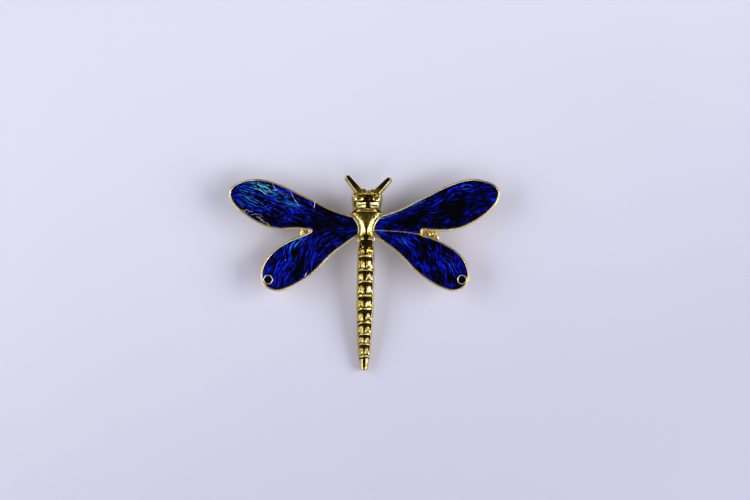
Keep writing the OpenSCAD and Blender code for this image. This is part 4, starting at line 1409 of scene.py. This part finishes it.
def blurred(grid, reach):
    """A grid averaged with its neighbours along both ways, weighted by a bell curve."""
    pad = 3 * reach
    for _ in range(2):
        wide = np.pad(grid, ((pad, pad), (0, 0)), mode="edge")
        grid = sum(weight * wide[k : k + len(grid)] for k, weight in enumerate(bell_weights(reach))).T
    return grid


def chased(x, y, half, high, base):
    """Height added to the body's top, and its number of tarnish and painted shade. "base" is the height
    without chasing.
    """
    along = y - KNOT_Y
    ahead = along - THORAX_LENGTH
    ridged, segment_tarnish_and_shade = chase_abdomen(x, y, half)
    added = np.where(along < 0, ridged + 0.02 * waves(x, along, 0.8, 43), 0)
    added = added + chase_knot(x, along)
    chest = chase_thorax(x, along, half, high, base)
    added = added + np.where((along >= 0) & (along < THORAX_LENGTH + 0.6), chest, 0)
    added = added + np.where(along > THORAX_LENGTH - 0.1, chase_head(x, ahead, high, base), 0)
    uneven = 0.018 * waves(x, along, 1.3, 41) + 0.008 * waves(x, along, 0.45, 42)
    added = (added + uneven) * (1 - np.clip(np.abs(x) / half, 0, 1) ** 10)

    recess = np.clip((blurred(added, RECESS_BLUR) - added) / RECESS_DEPTH, 0, 1)
    recess = np.maximum(recess, np.clip((-added - 0.08) / 0.30, 0, 1) * 0.85)
    recess = recess * (1 - 0.62 * plateau(along, 1.2, 2.0, 5.4, 5.6)) + thorax_tarnish(x, along)
    recess = recess + head_tarnish_and_shade(x, ahead) + np.where(along < 0, segment_tarnish_and_shade, 0)
    return added, recess * (1 - 0.85 * polished(x, ahead))


print("chasing of the whole body ready")

# %% [markdown]
# Now the skin itself. Its two parameters are the way along the body and the turn round it. The upper
# arch carries the chasing. Over the thorax its corners are fuller, so that the flanks run out to the
# wings' rims. Tail and brow are closed by a few rings that shrink to a point.

# %% The body's skin
BODY_RINGS, TOP_POINTS, UNDER_POINTS = 560, 88, 34
TOP_POWER, SHOULDER_POWER, UNDER_POWER, WIDEST_SHARE = 0.9, 0.6, 0.6, 0.35
END_REACH, END_TURNS = 0.34, (0.35, 0.7, 1.0, 1.25, math.pi / 2)
MOUND_REACH, MOUND_SHIFT, MOUND_WIDE = 0.50, 0.3, 1.1
BROW_Y = NECK_Y + HEAD_LENGTH


def arch(turn, half, power):
    """A rounded arch: x = half cos(a)^p, which keeps its sign, and its rise sin(a)^p, from 0 to 1."""
    x = half * np.sign(np.cos(turn)) * np.abs(np.cos(turn)) ** power
    return x, np.abs(np.sin(turn)) ** power


def end_cap(ring, way, mound_reach):
    """Rings that close an end: the last ring shrinks by the cosine of a turn while it moves on by the
    sine of it. A mound lets it stand out further on both sides than in the middle."""
    centre = ring.mean(axis=0)
    caps = []
    for turn in END_TURNS:
        cap = centre + (ring - centre) * math.cos(turn)
        mound = mound_reach * step(np.abs(cap[:, 0] - centre[0] - MOUND_SHIFT), 0.0, MOUND_WIDE)
        cap[:, 1] += way * (END_REACH + mound) * math.sin(turn)
        caps.append(cap)
    return caps


def body_skin():
    """P(y, a): a ring at each place y along the body. Over its widest line the ring is an arch with the
    chasing added to its height, and under it a flatter arch turned upside down."""
    y = np.linspace(KNOT_Y - TAIL_SHARE * ABDOMEN_LENGTH, BROW_Y, BODY_RINGS)[:, None]
    half, low, high = section_sizes(y)
    half = half * (1 + 0.02 * waves(y, 0 * y, 2.4, 8))
    widest = low + WIDEST_SHARE * (high - low)

    power = TOP_POWER + SHOULDER_POWER * plateau(y - KNOT_Y, 2.0, 3.4, 4.6, 5.6)
    x, rise = arch(np.linspace(0, np.pi, TOP_POINTS)[None], half, power)
    base = widest + (high - widest) * rise
    added, recess = chased(x, y, half, high, base)
    upper = np.stack([x + axis_at(y), y + 0 * x, base + added], axis=-1)

    x, rise = arch(np.linspace(np.pi, 2 * np.pi, UNDER_POINTS + 2)[1:-1][None], half, UNDER_POWER)
    lower = np.stack([x + axis_at(y), y + 0 * x, widest - (widest - low) * rise], axis=-1)
    rings = np.concatenate([upper, lower], axis=1)
    numbers = np.concatenate([recess, np.zeros(lower.shape[:2])], axis=1)

    tail, brow = end_cap(rings[0], -1, 0)[::-1], end_cap(rings[-1], 1, MOUND_REACH)
    numbers = np.concatenate([[numbers[0]] * len(tail), numbers, [numbers[-1]] * len(brow)])
    return np.concatenate([tail, rings, brow]), numbers


rings, recess = body_skin()
cast("body", *as_grid(rings, wrap_columns=True), body_gilt, recess)

# %% [markdown]
# Two short prongs reach back from the knot. Each is a round rod that is carried along a line in space
# and closed at both ends.

# %% Prongs beside the knot
# Each row: its points, counted from the knot on the wings' back, and its radius
PRONGS = [
    ([(-1.35, 0.9, 1.75), (-1.5, 0.25, 1.85), (-1.46, -0.45, 1.65)], 0.27),
    ([(1.35, 0.9, 1.75), (1.52, 0.35, 1.95), (1.5, -0.2, 1.75)], 0.30),
]


def rod(route, radius, sides=16, stations=30):
    """P(t, a): a circle carried along a line in space, round at both ends."""
    path = walk(smooth_line(route, SECTION_STEPS), np.linspace(0, 1, stations))
    way = np.gradient(path, axis=0)
    way = way / np.linalg.norm(way, axis=1, keepdims=True)
    side = np.cross(way, (0, 0, 1.0))
    side = side / np.linalg.norm(side, axis=1, keepdims=True)
    rise = np.cross(side, way)
    run = np.linspace(0, length_of(path), stations)
    near_end = np.clip(np.minimum(run, run[-1] - run) / radius, 0, 1)
    wide = (radius * np.sqrt(1 - (1 - near_end) ** 2))[:, None, None]
    a = np.linspace(0, 2 * np.pi, sides, endpoint=False)[None, :, None]
    circle = np.cos(a) * side[:, None] + np.sin(a) * rise[:, None]
    return as_grid(path[:, None] + wide * circle, wrap_columns=True)


knot = np.array([axis_at(KNOT_Y), KNOT_Y, BACK_Z])
cast("knot_prongs", *joined([rod(knot + route, radius) for route, radius in PRONGS]), body_gilt)

# %% [markdown]
# An antenna is a flat bar with a round tip. Its top is a polished flat that lies towards the inner edge,
# painted dark as painted shade for the dark it mirrors, and a wide bevel runs down to the outer edge,
# which catches the light as one bright line.

# %% Antennae
# Each row: name, side, length, turn away from the body's axis in degrees
ANTENNAE = [("left_antenna", LEFT, 3.6, 42), ("right_antenna", RIGHT, 3.25, 47)]
ROOT_SPREAD, ROOT_SHIFT, ROOT_AHEAD, ROOT_HEIGHT = 1.75, 0.25, 0.2, 0.55 * HEAD_HEIGHT
ROOT_WIDEN, ROOT_DRIFT, ROOT_SINK = 1.35, 0.25, 0.9
ANTENNA_HALF, ANTENNA_DEEP, ANTENNA_POINTS = 0.625, 0.55, 120

# The flat top is closed over a middle line that lies towards the inner edge and a hair lower
MIDDLE_SHIFT, MIDDLE_STOP, MIDDLE_DIP = 0.10, 0.1, 0.015

# Each row: share of the bevel's width drawn in, height as a share of half the thickness
EDGE_ROWS = [(0.12, -1.0), (0.0, -0.86), (0.0, 0.02), (0.08, 0.14), (0.30, 0.37), (0.52, 0.59),
             (0.74, 0.80), (1.0, 0.93), (1.06, 0.98), (1.14, 1.0), (1.25, 1.0), (1.5, 0.99)]


def antenna(side, length, turn):
    """P(a, k): the edge profile carried round a bar with a round tip. The bevel is wide where the
    edge faces outwards and narrow where it faces inwards. The first and last rows close the two flats.
    The number of painted shade that comes with it is high on the flat top and lower near the root."""
    a = np.linspace(0, 2 * np.pi, ANTENNA_POINTS + 1)[:-1]
    ahead = np.where(np.sin(a) > 0, length, -ROOT_SINK)
    wide = np.where(np.sin(a) > 0, ANTENNA_HALF, ROOT_WIDEN * ANTENNA_HALF)
    ray = np.stack([side * np.cos(a), np.sin(a)], axis=1)
    drift = np.where(np.sin(a) > 0, 0, side * ROOT_DRIFT)
    edge = np.stack([drift + wide * ray[:, 0], ahead + wide * ray[:, 1]], axis=1)
    outward = 0.5 + 0.5 * np.cos(a)
    bevel = 0.10 + 0.33 * step(outward, 0.25, 0.85) + 0.14 * step(np.sin(a), 0.2, 0.9)
    middle_y = np.clip(edge[:, 1], -ROOT_SINK, length - MIDDLE_STOP)
    middle = np.stack([0 * a - side * MIDDLE_SHIFT, middle_y], axis=1)
    rows = [raised(edge - (bevel * inset)[:, None] * ray, ANTENNA_DEEP * level) for inset, level in EDGE_ROWS]
    halfway_down, halfway_up = (0.5 * (rows[end][:, :2] + middle) for end in (0, -1))
    top = ANTENNA_DEEP * EDGE_ROWS[-1][1]
    under = [raised(middle, -ANTENNA_DEEP), raised(halfway_down, -ANTENNA_DEEP)]
    over = [raised(halfway_up, top - 0.8 * MIDDLE_DIP), raised(middle, top - MIDDLE_DIP)]
    points = np.stack([*under, *rows, *over], axis=1)
    # Painted shade on the flat top, for the dark it mirrors, less near the root
    top_shade = np.zeros(points.shape[:2])
    top_shade[:, -6:] = 0.36 + 0.50 * step(points[:, -6:, 1], 0.22 * length, 0.34 * length)
    angle = math.radians(side * turn)
    c, s = math.cos(angle), math.sin(angle)
    root = (axis_at(BROW_Y) + ROOT_SHIFT + side * ROOT_SPREAD, BROW_Y + ROOT_AHEAD)
    x = root[0] + points[..., 0] * c + points[..., 1] * s
    y = root[1] - points[..., 0] * s + points[..., 1] * c
    z = BACK_Z + ROOT_HEIGHT + points[..., 2]
    return np.stack([x, y, z], axis=-1), top_shade


for name, side, length, turn in ANTENNAE:
    grid, top_shade = antenna(side, length, turn)
    cast(name, *as_grid(grid, wrap_rows=True), body_gilt, top_shade, flat_angle=50)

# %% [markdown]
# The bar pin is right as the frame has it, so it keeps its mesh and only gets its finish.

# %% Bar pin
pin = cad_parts["bar_pin"]
pin.data.materials.clear()
pin.data.materials.append(pin_gilt)
